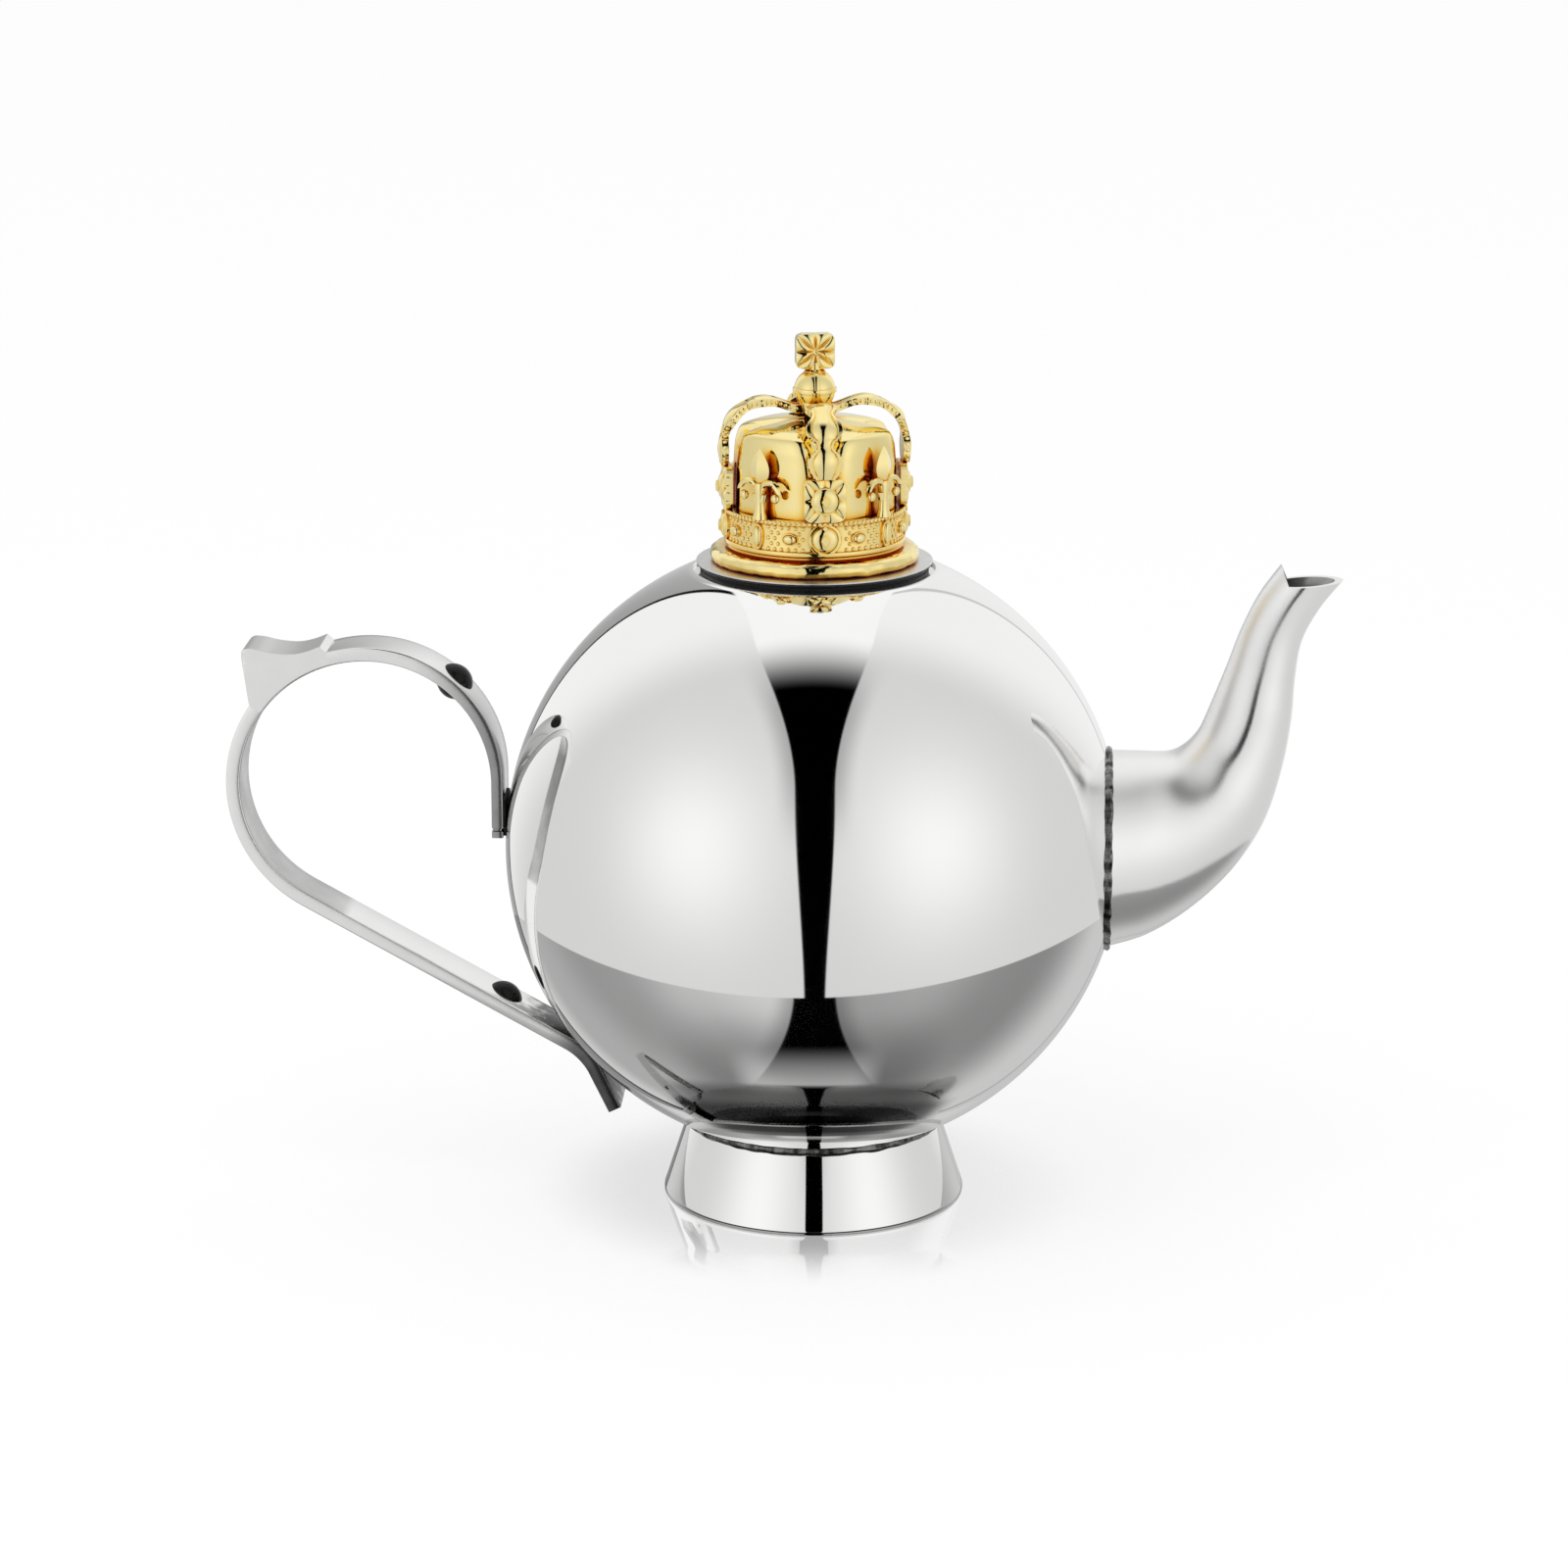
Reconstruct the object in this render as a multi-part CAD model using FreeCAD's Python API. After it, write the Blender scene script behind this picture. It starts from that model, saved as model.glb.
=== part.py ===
import FreeCAD, Part
import math
import os

from FreeCAD import Placement, Rotation, Vector

# Silver teapot: a spun ball on a conical foot, swan-neck spout, strap handle and a lid with a crown.
# Millimetres. The origin is the middle of the foot's rim on the table, +Z up, +X towards the spout.

# Ball
ball_radius = 62.5
ball_wall = 1.0
ball_centre_height = 73.1

# Foot
foot_bottom_radius = 30.75
foot_top_radius = 25.7
foot_wall = 1.2
foot_rim_width = 4.0
foot_rim_thickness = 1.2
foot_edge_round = 0.7
foot_solder_radius = 0.8

# Mouth and collar
mouth_rim_radius = 25.8
mouth_bore_radius = 20.5
collar_wall = 1.0
collar_flange_thickness = 1.0
collar_depth = 5.0

# Lid plate, skirt and seal
lid_disc_radius = 23.64
lid_disc_thickness = 0.8
lid_skirt_wall = 0.8
lid_skirt_depth = 7.0
lid_skirt_clearance = 0.3
lid_seal_thickness = 1.5
lid_seal_setback = 0.8
lid_seal_running_clearance = 0.05
lid_seal_face_clearance = 0.02

# Crown screw and washer
screw_radius = 2.0
screw_length = 9.0
screw_head_radius = 3.6
screw_head_height = 2.2
screw_slot_width = 0.9
screw_slot_depth = 0.8
screw_hole_clearance = 0.2
screw_thread_clearance = 0.03
washer_radius = 5.0
washer_thickness = 0.8

# Crown base ring and circlet
base_ring_radius = 20.85
base_ring_height = 4.0
base_ring_bore = 14.6
base_ring_undercut = 0.9
base_ring_belly_height = 1.3
circlet_radius = 18.6
circlet_wall = 1.4
circlet_height = 7.0
circlet_border_height = 0.9
circlet_border_proud = 0.45

# Stones on the circlet
crown_turn = 9.0
gem_rise = 1.2
round_gem_radius = 2.9
tall_gem_width = 2.2
tall_gem_height = 4.6
oval_gem_width = 3.0
oval_gem_height = 2.2
oval_gem_angle = 22.5

# Crosses and fleurs on the circlet
cross_width = 7.6
cross_height = 8.6
cross_waist = 2.2
cross_boss_radius = 2.3
cross_boss_rise = 0.9
cresting_thickness = 1.4
fleur_height = 14.0
fleur_petal_width = 4.4
fleur_petal_height = 9.4
fleur_curl_radius = 1.5
fleur_curl_band = 1.1
fleur_bar_width = 4.4
fleur_bar_height = 1.1
fleur_foot_width = 3.4

# Arches
arch_shoulder_radius = 9.1
arch_reach = 18.9
arch_top_above_circlet = 22.0
arch_thickness = 1.6
arch_width = 3.2
arch_fall_angle = 110.0
arch_crossing_drop = 1.5
arch_end_radius = 2.2
arch_bulb_width = 6.4
arch_lozenge_width = 5.6
arch_jewel_proud = 0.2
arch_bulb_angle = 52.0
arch_lozenge_angle = -3.0

# Cap
cap_wall = 1.2
cap_clearance = 0.5
cap_belly_radius = 15.9
cap_belly_above_circlet = 11.0
cap_boss_radius = 4.0
cap_arch_gap = 0.3

# Rounding of the cap above its belly, as parts of the belly's radius and of the height left above it
cap_puff_ratios = ((1.0, 0.0), (0.93, 0.58), (0.8, 0.82), (0.4, 0.97), (0.0, 1.0))

# Orb and its cross
orb_radius = 4.1
orb_band_radius = 4.5
orb_band_height = 1.2
orb_band_seat = 0.35
orb_sink = 1.3
finial_width = 7.5
finial_height = 6.6
finial_thickness = 3.0
finial_waist = 1.5
finial_corner_gap = 0.7
finial_stem_radius = 1.6
finial_stem_height = 0.4

# Spout
spout_root_radius = 20.0
spout_wall = 1.2
spout_solder_radius = 0.9
spout_stub = 8.0

# Upper and lower edge of the spout at each ring, forward and up from the middle of its root
spout_rings = (
    ((6.8, 20.0), (8.3, -17.4)),
    ((12.3, 20.2), (18.1, -11.0)),
    ((15.6, 22.0), (26.2, -2.7)),
    ((17.8, 24.5), (31.3, 5.6)),
    ((19.3, 27.6), (35.1, 17.9)),
    ((20.7, 31.2), (36.6, 27.5)),
    ((23.3, 38.0), (37.1, 36.0)),
    ((26.2, 46.1), (38.4, 44.0)),
    ((29.4, 52.8), (41.6, 50.2)),
    ((34.6, 60.2), (47.4, 57.6)),
)

# The cut of the spout's mouth: tip of the back spur, notch under it and pouring lip
spout_spur = (33.9, 58.6)
spout_notch = (35.2, 55.3)
spout_lip = (45.6, 56.0)

# Strainer holes through the ball behind the spout
strainer_hole_radius = 1.5
strainer_pitch = 5.0
strainer_margin = 2.0

# Handle strap
strap_width = 12.0
strap_thickness = 2.85
leg_thickness = 2.35
strap_solder_gap = 0.15
front_loop_radius = 27.4
back_loop_radius = 28.8
front_loop_rise = 13.9
leg_end_rise = 2.1
lower_contact_angle = 46.9
lower_bend_radius = 15.0
tail_slope = 64.5
tail_length = 7.6

# Solder pads of the handle
upper_pad_height = 8.0
lower_pad_length = 8.0
pad_width = 10.0
lower_pad_thickness = 1.6

# Thumb rest outline: degrees back from the top of the strap's back loop, and height above the strap
thumb_front = (15.6, 0.0)
thumb_front_edge = (17.4, 1.5)
thumb_hollow = (28.5, 2.25)
thumb_tip = (40.4, 8.4)
thumb_nose = (43.7, 7.8)
thumb_nose_under = (45.4, 5.5)
thumb_side = (48.2, 3.5)
thumb_back = (54.9, 0.0)
thumb_nose_depth = 3.8
thumb_nose_lead = 0.3

# Black plugs through the strap
plug_head_radius = 3.5
plug_dome_height = 2.1
plug_shank_radius = 2.0
upper_plug_angle = 48.0
lower_plug_from_bend = 15.6

# Values worked out from the sizes above
ball_centre = Vector(0, 0, ball_centre_height)
ball_inner_radius = ball_radius - ball_wall
foot_contact_height = ball_centre_height - math.sqrt(ball_radius ** 2 - foot_top_radius ** 2)
seat_height = ball_centre_height + math.sqrt(ball_radius ** 2 - mouth_rim_radius ** 2)
mouth_inner_radius = math.sqrt(ball_inner_radius ** 2 - (seat_height - ball_centre_height) ** 2)
collar_radius = (mouth_rim_radius + mouth_inner_radius) / 2
collar_sleeve_radius = mouth_bore_radius + collar_wall
disc_underside = seat_height + lid_seal_thickness
disc_top = disc_underside + lid_disc_thickness
skirt_radius = mouth_bore_radius - lid_skirt_clearance
base_ring_top = disc_top + base_ring_height
circlet_top = base_ring_top + circlet_height
circlet_inner_radius = circlet_radius - circlet_wall
cresting_radius = circlet_radius - circlet_wall / 2
arch_centre = Vector(arch_reach - arch_shoulder_radius, 0, circlet_top + arch_top_above_circlet
                     - arch_shoulder_radius)
crossing_height = circlet_top + arch_top_above_circlet - arch_crossing_drop
orb_centre_height = crossing_height + orb_radius - orb_sink
orb_top = orb_centre_height + orb_radius * 0.95
spout_root_x = math.sqrt(ball_radius ** 2 - spout_root_radius ** 2)
spout_root = Vector(spout_root_x, 0, ball_centre_height)
strap_face_x = -(ball_radius + strap_solder_gap)
loop_x = strap_face_x - front_loop_radius
front_loop_centre = Vector(loop_x, 0, ball_centre_height + front_loop_rise)
strap_top = front_loop_centre.z + front_loop_radius
back_loop_centre = Vector(loop_x, 0, strap_top - back_loop_radius)
bend_distance = ball_radius + strap_solder_gap + lower_bend_radius
bend_centre = ball_centre - Vector(
    bend_distance * math.sin(math.radians(lower_contact_angle)), 0,
    bend_distance * math.cos(math.radians(lower_contact_angle)))
up = Vector(0, 0, 1)
across = Vector(0, 1, 0)
crest_names = ("front", "right", "back", "left")


def polar(centre, radius, degrees):
    """A point in the upright middle plane, turned from +X towards +Z."""
    angle = math.radians(degrees)
    return centre + Vector(radius * math.cos(angle), 0, radius * math.sin(angle))


def line(start, end):
    return Part.LineSegment(start, end).toShape()


def arc(start, middle, end):
    return Part.Arc(start, middle, end).toShape()


def loop_arc(centre, radius, first, last):
    return arc(polar(centre, radius, first), polar(centre, radius, (first + last) / 2),
               polar(centre, radius, last))


def face_of(edges):
    return Part.Face(Part.Wire(edges))


def polygon_face(points):
    corners = [Vector(*point) for point in points]
    return Part.Face(Part.makePolygon(corners + corners[:1]))


def turned(points):
    """A ring turned about the pot's axis from (radius, height) corners."""
    return polygon_face([(radius, 0, height) for radius, height in points]).revolve(
        Vector(0, 0, 0), up, 360)


def across_strap(face, width):
    """A flat outline in the upright middle plane, made width wide and centred on it."""
    face.translate(Vector(0, -width / 2, 0))
    return face.extrude(Vector(0, width, 0))


def cylinder_between(start, end, radius):
    return Part.makeCylinder(radius, (end - start).Length, start, end - start)


def around_crown(shape, degrees):
    """Turn a piece made at the crown's front (-Y) to its place round the crown."""
    placed = shape.copy()
    placed.rotate(Vector(0, 0, 0), up, degrees)
    return placed


def ball_solid():
    return Part.makeSphere(ball_radius, ball_centre)


def strainer_holes():
    """Rows of holes on either side of the equator, inside the root of the spout."""
    reach = spout_root_radius - spout_wall - strainer_hole_radius - strainer_margin
    rows = int(reach // strainer_pitch) + 1
    holes = []
    for row in range(-rows, rows):
        height = (row + 0.5) * strainer_pitch
        shift = 0.5 * (row % 2)
        for column in range(-rows, rows + 1):
            side = (column + shift) * strainer_pitch
            if math.hypot(side, height) <= reach:
                start = Vector(spout_root_x / 2, side, ball_centre_height + height)
                holes.append(Part.makeCylinder(strainer_hole_radius, ball_radius, start, Vector(1, 0, 0)))
    return Part.makeCompound(holes)


def ball_halves():
    shell = ball_solid().cut(Part.makeSphere(ball_inner_radius, ball_centre))
    shell = shell.cut(strainer_holes())
    side = 3 * ball_radius
    above = Part.makeBox(side, side, side, ball_centre - Vector(side / 2, side / 2, 0))
    mouth = Part.makeCylinder(mouth_rim_radius * 1.2, ball_radius, Vector(0, 0, seat_height))
    collar_hole = Part.makeCylinder(collar_radius, ball_radius, ball_centre + Vector(0, 0, ball_radius / 2))
    upper = shell.common(above).cut(mouth.fuse(collar_hole))
    return upper, shell.cut(above)


def mouth_collar():
    return turned((
        (mouth_bore_radius, seat_height - collar_depth),
        (collar_sleeve_radius, seat_height - collar_depth),
        (collar_sleeve_radius, seat_height - collar_flange_thickness),
        (collar_radius, seat_height - collar_flange_thickness),
        (collar_radius, seat_height),
        (mouth_bore_radius, seat_height),
    ))


def foot_ring():
    slope = (foot_bottom_radius - foot_top_radius) / foot_contact_height
    rim_inner_radius = foot_bottom_radius - foot_rim_width
    inner_wall = foot_bottom_radius - foot_wall - slope * foot_rim_thickness
    ring = turned((
        (rim_inner_radius, 0),
        (foot_bottom_radius - foot_edge_round, 0),
        (foot_bottom_radius, foot_edge_round),
        (foot_top_radius, foot_contact_height),
        (foot_top_radius - foot_wall, foot_contact_height),
        (inner_wall, foot_rim_thickness),
        (rim_inner_radius, foot_rim_thickness),
    ))
    return ring.cut(ball_solid())


def foot_solder(ring):
    bead = Part.makeTorus(foot_top_radius, foot_solder_radius, Vector(0, 0, foot_contact_height), up)
    return bead.cut(ball_solid()).cut(ring)


def spout_section(upper, lower):
    """Half of the spout's wall at one ring: outer half circle, inner half circle and two seams."""
    top = spout_root + Vector(upper[0], 0, upper[1])
    bottom = spout_root + Vector(lower[0], 0, lower[1])
    middle = (top + bottom) * 0.5
    outer = (top - bottom).Length / 2
    inner = outer - spout_wall
    rise = (top - bottom).normalize()
    inner_top = middle + rise * inner
    inner_bottom = middle - rise * inner
    return Part.Wire([
        arc(top, middle + across * outer, bottom),
        line(bottom, inner_bottom),
        arc(inner_bottom, middle + across * inner, inner_top),
        line(inner_top, top),
    ])


def spout_mouth_cut():
    spur, notch, lip = (spout_root + Vector(x, 0, z) for x, z in (spout_spur, spout_notch, spout_lip))
    clear = 2 * spout_root_radius
    above_spur = spur + (spur - notch) * clear
    beyond_lip = notch + (lip - notch) * clear
    far_corner = Vector(beyond_lip.x, 0, above_spur.z)
    outline = face_of([line(notch, above_spur), line(above_spur, far_corner),
                       line(far_corner, beyond_lip), line(beyond_lip, notch)])
    return across_strap(outline, 4 * spout_root_radius)


def spout_halves():
    """The left half (+Y) and its mirror image, joined on the upright middle plane."""
    root = (((-spout_stub, spout_root_radius), (-spout_stub, -spout_root_radius)),
            ((0, spout_root_radius), (0, -spout_root_radius)))
    left = Part.makeLoft([spout_section(upper, lower) for upper, lower in root + spout_rings], True)
    left = left.cut(spout_mouth_cut()).cut(ball_solid())
    return left, left.mirror(Vector(0, 0, 0), across)


def spout_solder(halves):
    bead = Part.makeTorus(spout_root_radius, spout_solder_radius, spout_root, Vector(1, 0, 0))
    bore = Part.makeCylinder(spout_root_radius - spout_wall / 2, 2 * spout_stub,
                             spout_root - Vector(spout_stub, 0, 0), Vector(1, 0, 0))
    return bead.cut(bore).cut(ball_solid()).cut(Part.makeCompound(halves))


def arm_slope():
    """Degrees that the straight lower arm falls, tangent to the back loop and to the lower bend."""
    inner_loop = back_loop_radius - strap_thickness
    run = bend_centre - back_loop_centre
    down = math.atan2(-run.z, run.x)
    return math.degrees(down - math.asin((inner_loop + lower_bend_radius) / run.Length))


def strap_side(offset, leg_offset):
    """Edges of one face of the strap, from the upper leg to the tail, at its depth below the outer face."""
    slope = arm_slope()
    front = front_loop_radius - leg_offset
    front_centre = front_loop_centre - Vector(0, 0, offset - leg_offset)
    back = back_loop_radius - offset
    bend = lower_bend_radius - strap_thickness + offset
    loop_end = 270 - slope
    bend_start = 90 - slope
    bend_end = 90 - tail_slope
    tail = Vector(math.cos(math.radians(tail_slope)), 0, -math.sin(math.radians(tail_slope))) * tail_length
    leg_foot = polar(front_centre, front, 0)
    leg_foot.z = ball_centre_height + leg_end_rise
    return [
        line(leg_foot, polar(front_centre, front, 0)),
        loop_arc(front_centre, front, 0, 90),
        loop_arc(back_loop_centre, back, 90, loop_end),
        line(polar(back_loop_centre, back, loop_end), polar(bend_centre, bend, bend_start)),
        loop_arc(bend_centre, bend, bend_start, bend_end),
        line(polar(bend_centre, bend, bend_end), polar(bend_centre, bend, bend_end) + tail),
    ]


def strap_blank():
    """The bent strap before its holes are drilled."""
    outer = strap_side(0, 0)
    inner = strap_side(strap_thickness, leg_thickness)
    outer_tip = outer[-1].Vertexes[-1].Point
    inner_tip = inner[-1].Vertexes[-1].Point
    fall = math.radians(tail_slope)
    tip = (outer_tip + inner_tip) * 0.5
    tip = tip + Vector(math.cos(fall), 0, -math.sin(fall)) * (strap_thickness / 2)
    ends = [arc(outer_tip, tip, inner_tip), line(outer[0].Vertexes[0].Point, inner[0].Vertexes[0].Point)]
    outline = Part.Wire(Part.__sortEdges__(outer + inner + ends))
    return across_strap(Part.Face(outline), strap_width)


def plug_places():
    """Middle of the strap's thickness and the way out of its outer face, at each plug."""
    mid_loop = front_loop_radius - strap_thickness / 2
    upper = polar(front_loop_centre, mid_loop, upper_plug_angle)
    upper_out = (upper - front_loop_centre).normalize()
    slope = math.radians(arm_slope())
    mid_bend = polar(bend_centre, lower_bend_radius - strap_thickness / 2, 90 - arm_slope())
    along = Vector(math.cos(slope), 0, -math.sin(slope))
    lower_out = Vector(-math.sin(slope), 0, -math.cos(slope))
    return (upper, upper_out), (mid_bend - along * lower_plug_from_bend, lower_out)


def plug(place, head_sides, blank):
    """A plug through the strap, with a domed head on the outer (1) or inner (-1) side, or on both."""
    middle, out = place
    half = strap_thickness / 2
    dome_radius = (plug_head_radius ** 2 + plug_dome_height ** 2) / (2 * plug_dome_height)
    shank = cylinder_between(middle - out * half, middle + out * half, plug_shank_radius)
    pieces = [shank.common(blank)]
    for side in head_sides:
        way = out * side
        dome = Part.makeSphere(dome_radius, middle + way * (half + plug_dome_height - dome_radius))
        root = cylinder_between(middle, middle + way * (half + plug_dome_height), plug_head_radius)
        pieces.append(dome.common(root).cut(blank))
    return pieces[0].fuse(pieces[1:]).removeSplitter()


def handle_strap(blank):
    strap = blank
    for middle, out in plug_places():
        strap = strap.cut(cylinder_between(middle - out * strap_thickness, middle + out * strap_thickness,
                                           plug_shank_radius))
    return strap


def upper_solder():
    foot = ball_centre_height + leg_end_rise
    pad = Part.makeBox(ball_radius, pad_width, upper_pad_height, Vector(strap_face_x, -pad_width / 2, foot))
    return pad.cut(ball_solid())


def lower_solder(blank):
    pad = Part.makeBox(lower_pad_length, pad_width, lower_pad_thickness,
                       Vector(-lower_pad_length / 2, -pad_width / 2, -lower_pad_thickness / 2))
    contact = ball_centre + (bend_centre - ball_centre).normalize() * (ball_radius + strap_solder_gap / 2)
    pad.Placement = Placement(contact, Rotation(across, lower_contact_angle))
    return pad.cut(ball_solid()).cut(blank)


def thumb_point(place):
    angle, height = place
    return polar(back_loop_centre, back_loop_radius + height, 90 + angle)


def thumb_plan():
    """The thumb rest seen from above: straight sides that close in a rounded nose."""
    nose = thumb_point(thumb_nose)
    nose.x -= thumb_nose_lead
    nose.z = back_loop_centre.z
    side = Vector(0, strap_width / 2, 0)
    shoulder = nose + Vector(thumb_nose_depth, 0, 0)
    front = shoulder + Vector(back_loop_radius, 0, 0)
    outline = face_of([line(front - side, shoulder - side), arc(shoulder - side, nose, shoulder + side),
                       line(shoulder + side, front + side), line(front + side, front - side)])
    return outline.extrude(Vector(0, 0, 2 * back_loop_radius))


def thumb_rest():
    front, front_edge, hollow, tip, nose, nose_under, side, back = (thumb_point(place) for place in (
        thumb_front, thumb_front_edge, thumb_hollow, thumb_tip, thumb_nose, thumb_nose_under,
        thumb_side, thumb_back))
    outline = face_of([
        line(front, front_edge),
        arc(front_edge, hollow, tip),
        arc(tip, nose, nose_under),
        arc(nose_under, side, back),
        loop_arc(back_loop_centre, back_loop_radius, 90 + thumb_back[0], 90 + thumb_front[0]),
    ])
    return across_strap(outline, strap_width).common(thumb_plan())


def lid_disc():
    disc = Part.makeCylinder(lid_disc_radius, lid_disc_thickness, Vector(0, 0, disc_underside))
    return disc.cut(Part.makeCylinder(screw_radius + screw_hole_clearance, lid_disc_thickness,
                                      Vector(0, 0, disc_underside)))


def ring(inner, outer, bottom, top):
    return turned(((inner, bottom), (outer, bottom), (outer, top), (inner, top)))


def lid_skirt():
    return ring(skirt_radius - lid_skirt_wall, skirt_radius, disc_underside - lid_skirt_depth, disc_underside)


def lid_seal():
    return ring(skirt_radius + lid_seal_running_clearance, lid_disc_radius - lid_seal_setback,
                seat_height + lid_seal_face_clearance, disc_underside - lid_seal_face_clearance)


def screw_washer():
    return ring(screw_radius + screw_hole_clearance, washer_radius,
                disc_underside - washer_thickness, disc_underside)


def fixing_screw():
    head_top = disc_underside - washer_thickness
    head_bottom = head_top - screw_head_height
    shaft = Part.makeCylinder(screw_radius, screw_length, Vector(0, 0, head_top))
    head = Part.makeCylinder(screw_head_radius, screw_head_height, Vector(0, 0, head_bottom))
    slot = Part.makeBox(2 * screw_head_radius, screw_slot_width, screw_slot_depth,
                        Vector(-screw_head_radius, -screw_slot_width / 2, head_bottom))
    return head.fuse(shaft).cut(slot)


def crown_base_ring():
    """A rounded roll, widest a little above the plate."""
    foot = Vector(base_ring_radius - base_ring_undercut, 0, disc_top)
    belly = Vector(base_ring_radius, 0, disc_top + base_ring_belly_height)
    shoulder = Vector(circlet_radius + circlet_border_proud, 0, base_ring_top)
    roll = belly + (shoulder - belly) * 0.5
    bulge = Vector(base_ring_height, 0, base_ring_height).normalize() * (base_ring_height / 8)
    under = (foot + belly) * 0.5 + Vector(base_ring_undercut / 4, 0, -base_ring_undercut / 4)
    outline = face_of([
        line(Vector(base_ring_bore, 0, disc_top), foot),
        arc(foot, under, belly),
        arc(belly, roll + bulge, shoulder),
        line(shoulder, Vector(base_ring_bore, 0, base_ring_top)),
        line(Vector(base_ring_bore, 0, base_ring_top), Vector(base_ring_bore, 0, disc_top)),
    ])
    return outline.revolve(Vector(0, 0, 0), up, 360)


def circlet_blank(inner_radius):
    """The jewelled band with a raised border along both edges."""
    border = circlet_radius + circlet_border_proud
    lower = base_ring_top + circlet_border_height
    upper = circlet_top - circlet_border_height
    return turned((
        (inner_radius, base_ring_top), (border, base_ring_top), (border, lower),
        (circlet_radius, lower), (circlet_radius, upper), (border, upper),
        (border, circlet_top), (inner_radius, circlet_top),
    ))


def set_on_band(stone):
    """A stone made at the origin with its top towards -Y, moved to the crown's front and cut to the band."""
    stone.translate(Vector(0, -circlet_radius - gem_rise, (base_ring_top + circlet_top) / 2))
    return stone.cut(circlet_blank(0))


def round_gem():
    dome_radius = (round_gem_radius ** 2 + gem_rise ** 2) / (2 * gem_rise)
    dome = Part.makeSphere(dome_radius, Vector(0, dome_radius, 0))
    return set_on_band(dome.common(Part.makeCylinder(round_gem_radius, dome_radius, Vector(0, 0, 0), across)))


def tall_gem():
    """A table-cut stone: a rectangle sloping in to a smaller flat top."""
    table = polygon_face([(x * tall_gem_width / 4, 0, z * (tall_gem_height - tall_gem_width / 2) / 2)
                          for x, z in ((-1, -1), (1, -1), (1, 1), (-1, 1))])
    girdle = polygon_face([(x * tall_gem_width / 2, 2 * gem_rise, z * tall_gem_height / 2)
                           for x, z in ((-1, -1), (1, -1), (1, 1), (-1, 1))])
    return set_on_band(Part.makeLoft([table.OuterWire, girdle.OuterWire], True))


def oval_gem():
    """An oval stone sloping in to a smaller flat top."""
    outlines = []
    for depth, size in ((0, 0.5), (gem_rise, 1.0), (2 * gem_rise, 1.2)):
        oval = Part.Ellipse(Vector(0, depth, 0), oval_gem_width / 2 * size, oval_gem_height / 2 * size)
        oval.Axis = across
        outlines.append(Part.Wire(oval.toShape()))
    return set_on_band(Part.makeLoft(outlines, True, True))


def gem_group(stone, angles):
    return Part.makeCompound([around_crown(stone, crown_turn + angle) for angle in angles])


def cresting_plate(face):
    """A flat outline drawn in X and Z, made into a plate standing on the circlet at the crown's front."""
    face.translate(Vector(0, -cresting_radius - cresting_thickness / 2, 0))
    return face.extrude(Vector(0, cresting_thickness, 0))


def flared_arm(waist, end, length, corner_gap):
    """One arm of a cross, pointing up from its middle, narrow at the middle and wide at its end."""
    half_end = end / 2 - corner_gap
    bow = Vector((waist + half_end * 2) / 4 - (half_end - waist / 2) / 6, 0, length * 0.55)
    return face_of([
        line(Vector(-waist / 2, 0, 0), Vector(waist / 2, 0, 0)),
        arc(Vector(waist / 2, 0, 0), bow, Vector(half_end, 0, length)),
        line(Vector(half_end, 0, length), Vector(-half_end, 0, length)),
        arc(Vector(-half_end, 0, length), Vector(-bow.x, 0, bow.z), Vector(-waist / 2, 0, 0)),
    ])


def flared_cross(width, height, waist, corner_gap, depth):
    """A cross of four flared arms about its own middle, depth thick along Y."""
    arms = []
    for quarter in range(4):
        upright = quarter % 2 == 0
        length, end = (height / 2, width) if upright else (width / 2, height)
        arm = flared_arm(waist, end, length, corner_gap)
        arm.rotate(Vector(0, 0, 0), across, 90 * quarter)
        arms.append(across_strap(arm, depth))
    core = Part.makeBox(waist, depth, waist, Vector(-waist / 2, -depth / 2, -waist / 2))
    return core.fuse(arms).removeSplitter()


def crown_cross():
    plate = flared_cross(cross_width, cross_height, cross_waist, cross_width / 8, cresting_thickness)
    boss = Part.makeSphere(1.0)
    shape = FreeCAD.Matrix()
    shape.scale(cross_boss_radius, cresting_thickness / 2 + cross_boss_rise, cross_boss_radius)
    boss = boss.transformGeometry(shape)
    front_half = Part.makeBox(cross_width, cross_width, cross_height,
                              Vector(-cross_width / 2, -cross_width, -cross_height / 2))
    cross = plate.fuse(boss.common(front_half)).removeSplitter()
    cross.translate(Vector(0, -cresting_radius, circlet_top + cross_height / 2))
    return cross


def fleur_curl(side, height):
    """A hooked side leaf, rising from the bar and turning down outside it."""
    centre = Vector(side * (fleur_curl_radius + fleur_petal_width / 4), 0, height)
    outer = fleur_curl_radius + fleur_curl_band / 2
    inner = fleur_curl_radius - fleur_curl_band / 2
    start, end = (180, -50) if side > 0 else (0, 230)
    tip = polar(centre, fleur_curl_radius, end)
    return face_of([
        loop_arc(centre, outer, start, end),
        line(polar(centre, outer, end), polar(centre, inner, end)),
        loop_arc(centre, inner, end, start),
        line(polar(centre, inner, start), polar(centre, outer, start)),
    ]), Part.Face(Part.Wire(Part.Circle(tip, across, fleur_curl_band * 0.75).toShape()))


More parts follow.
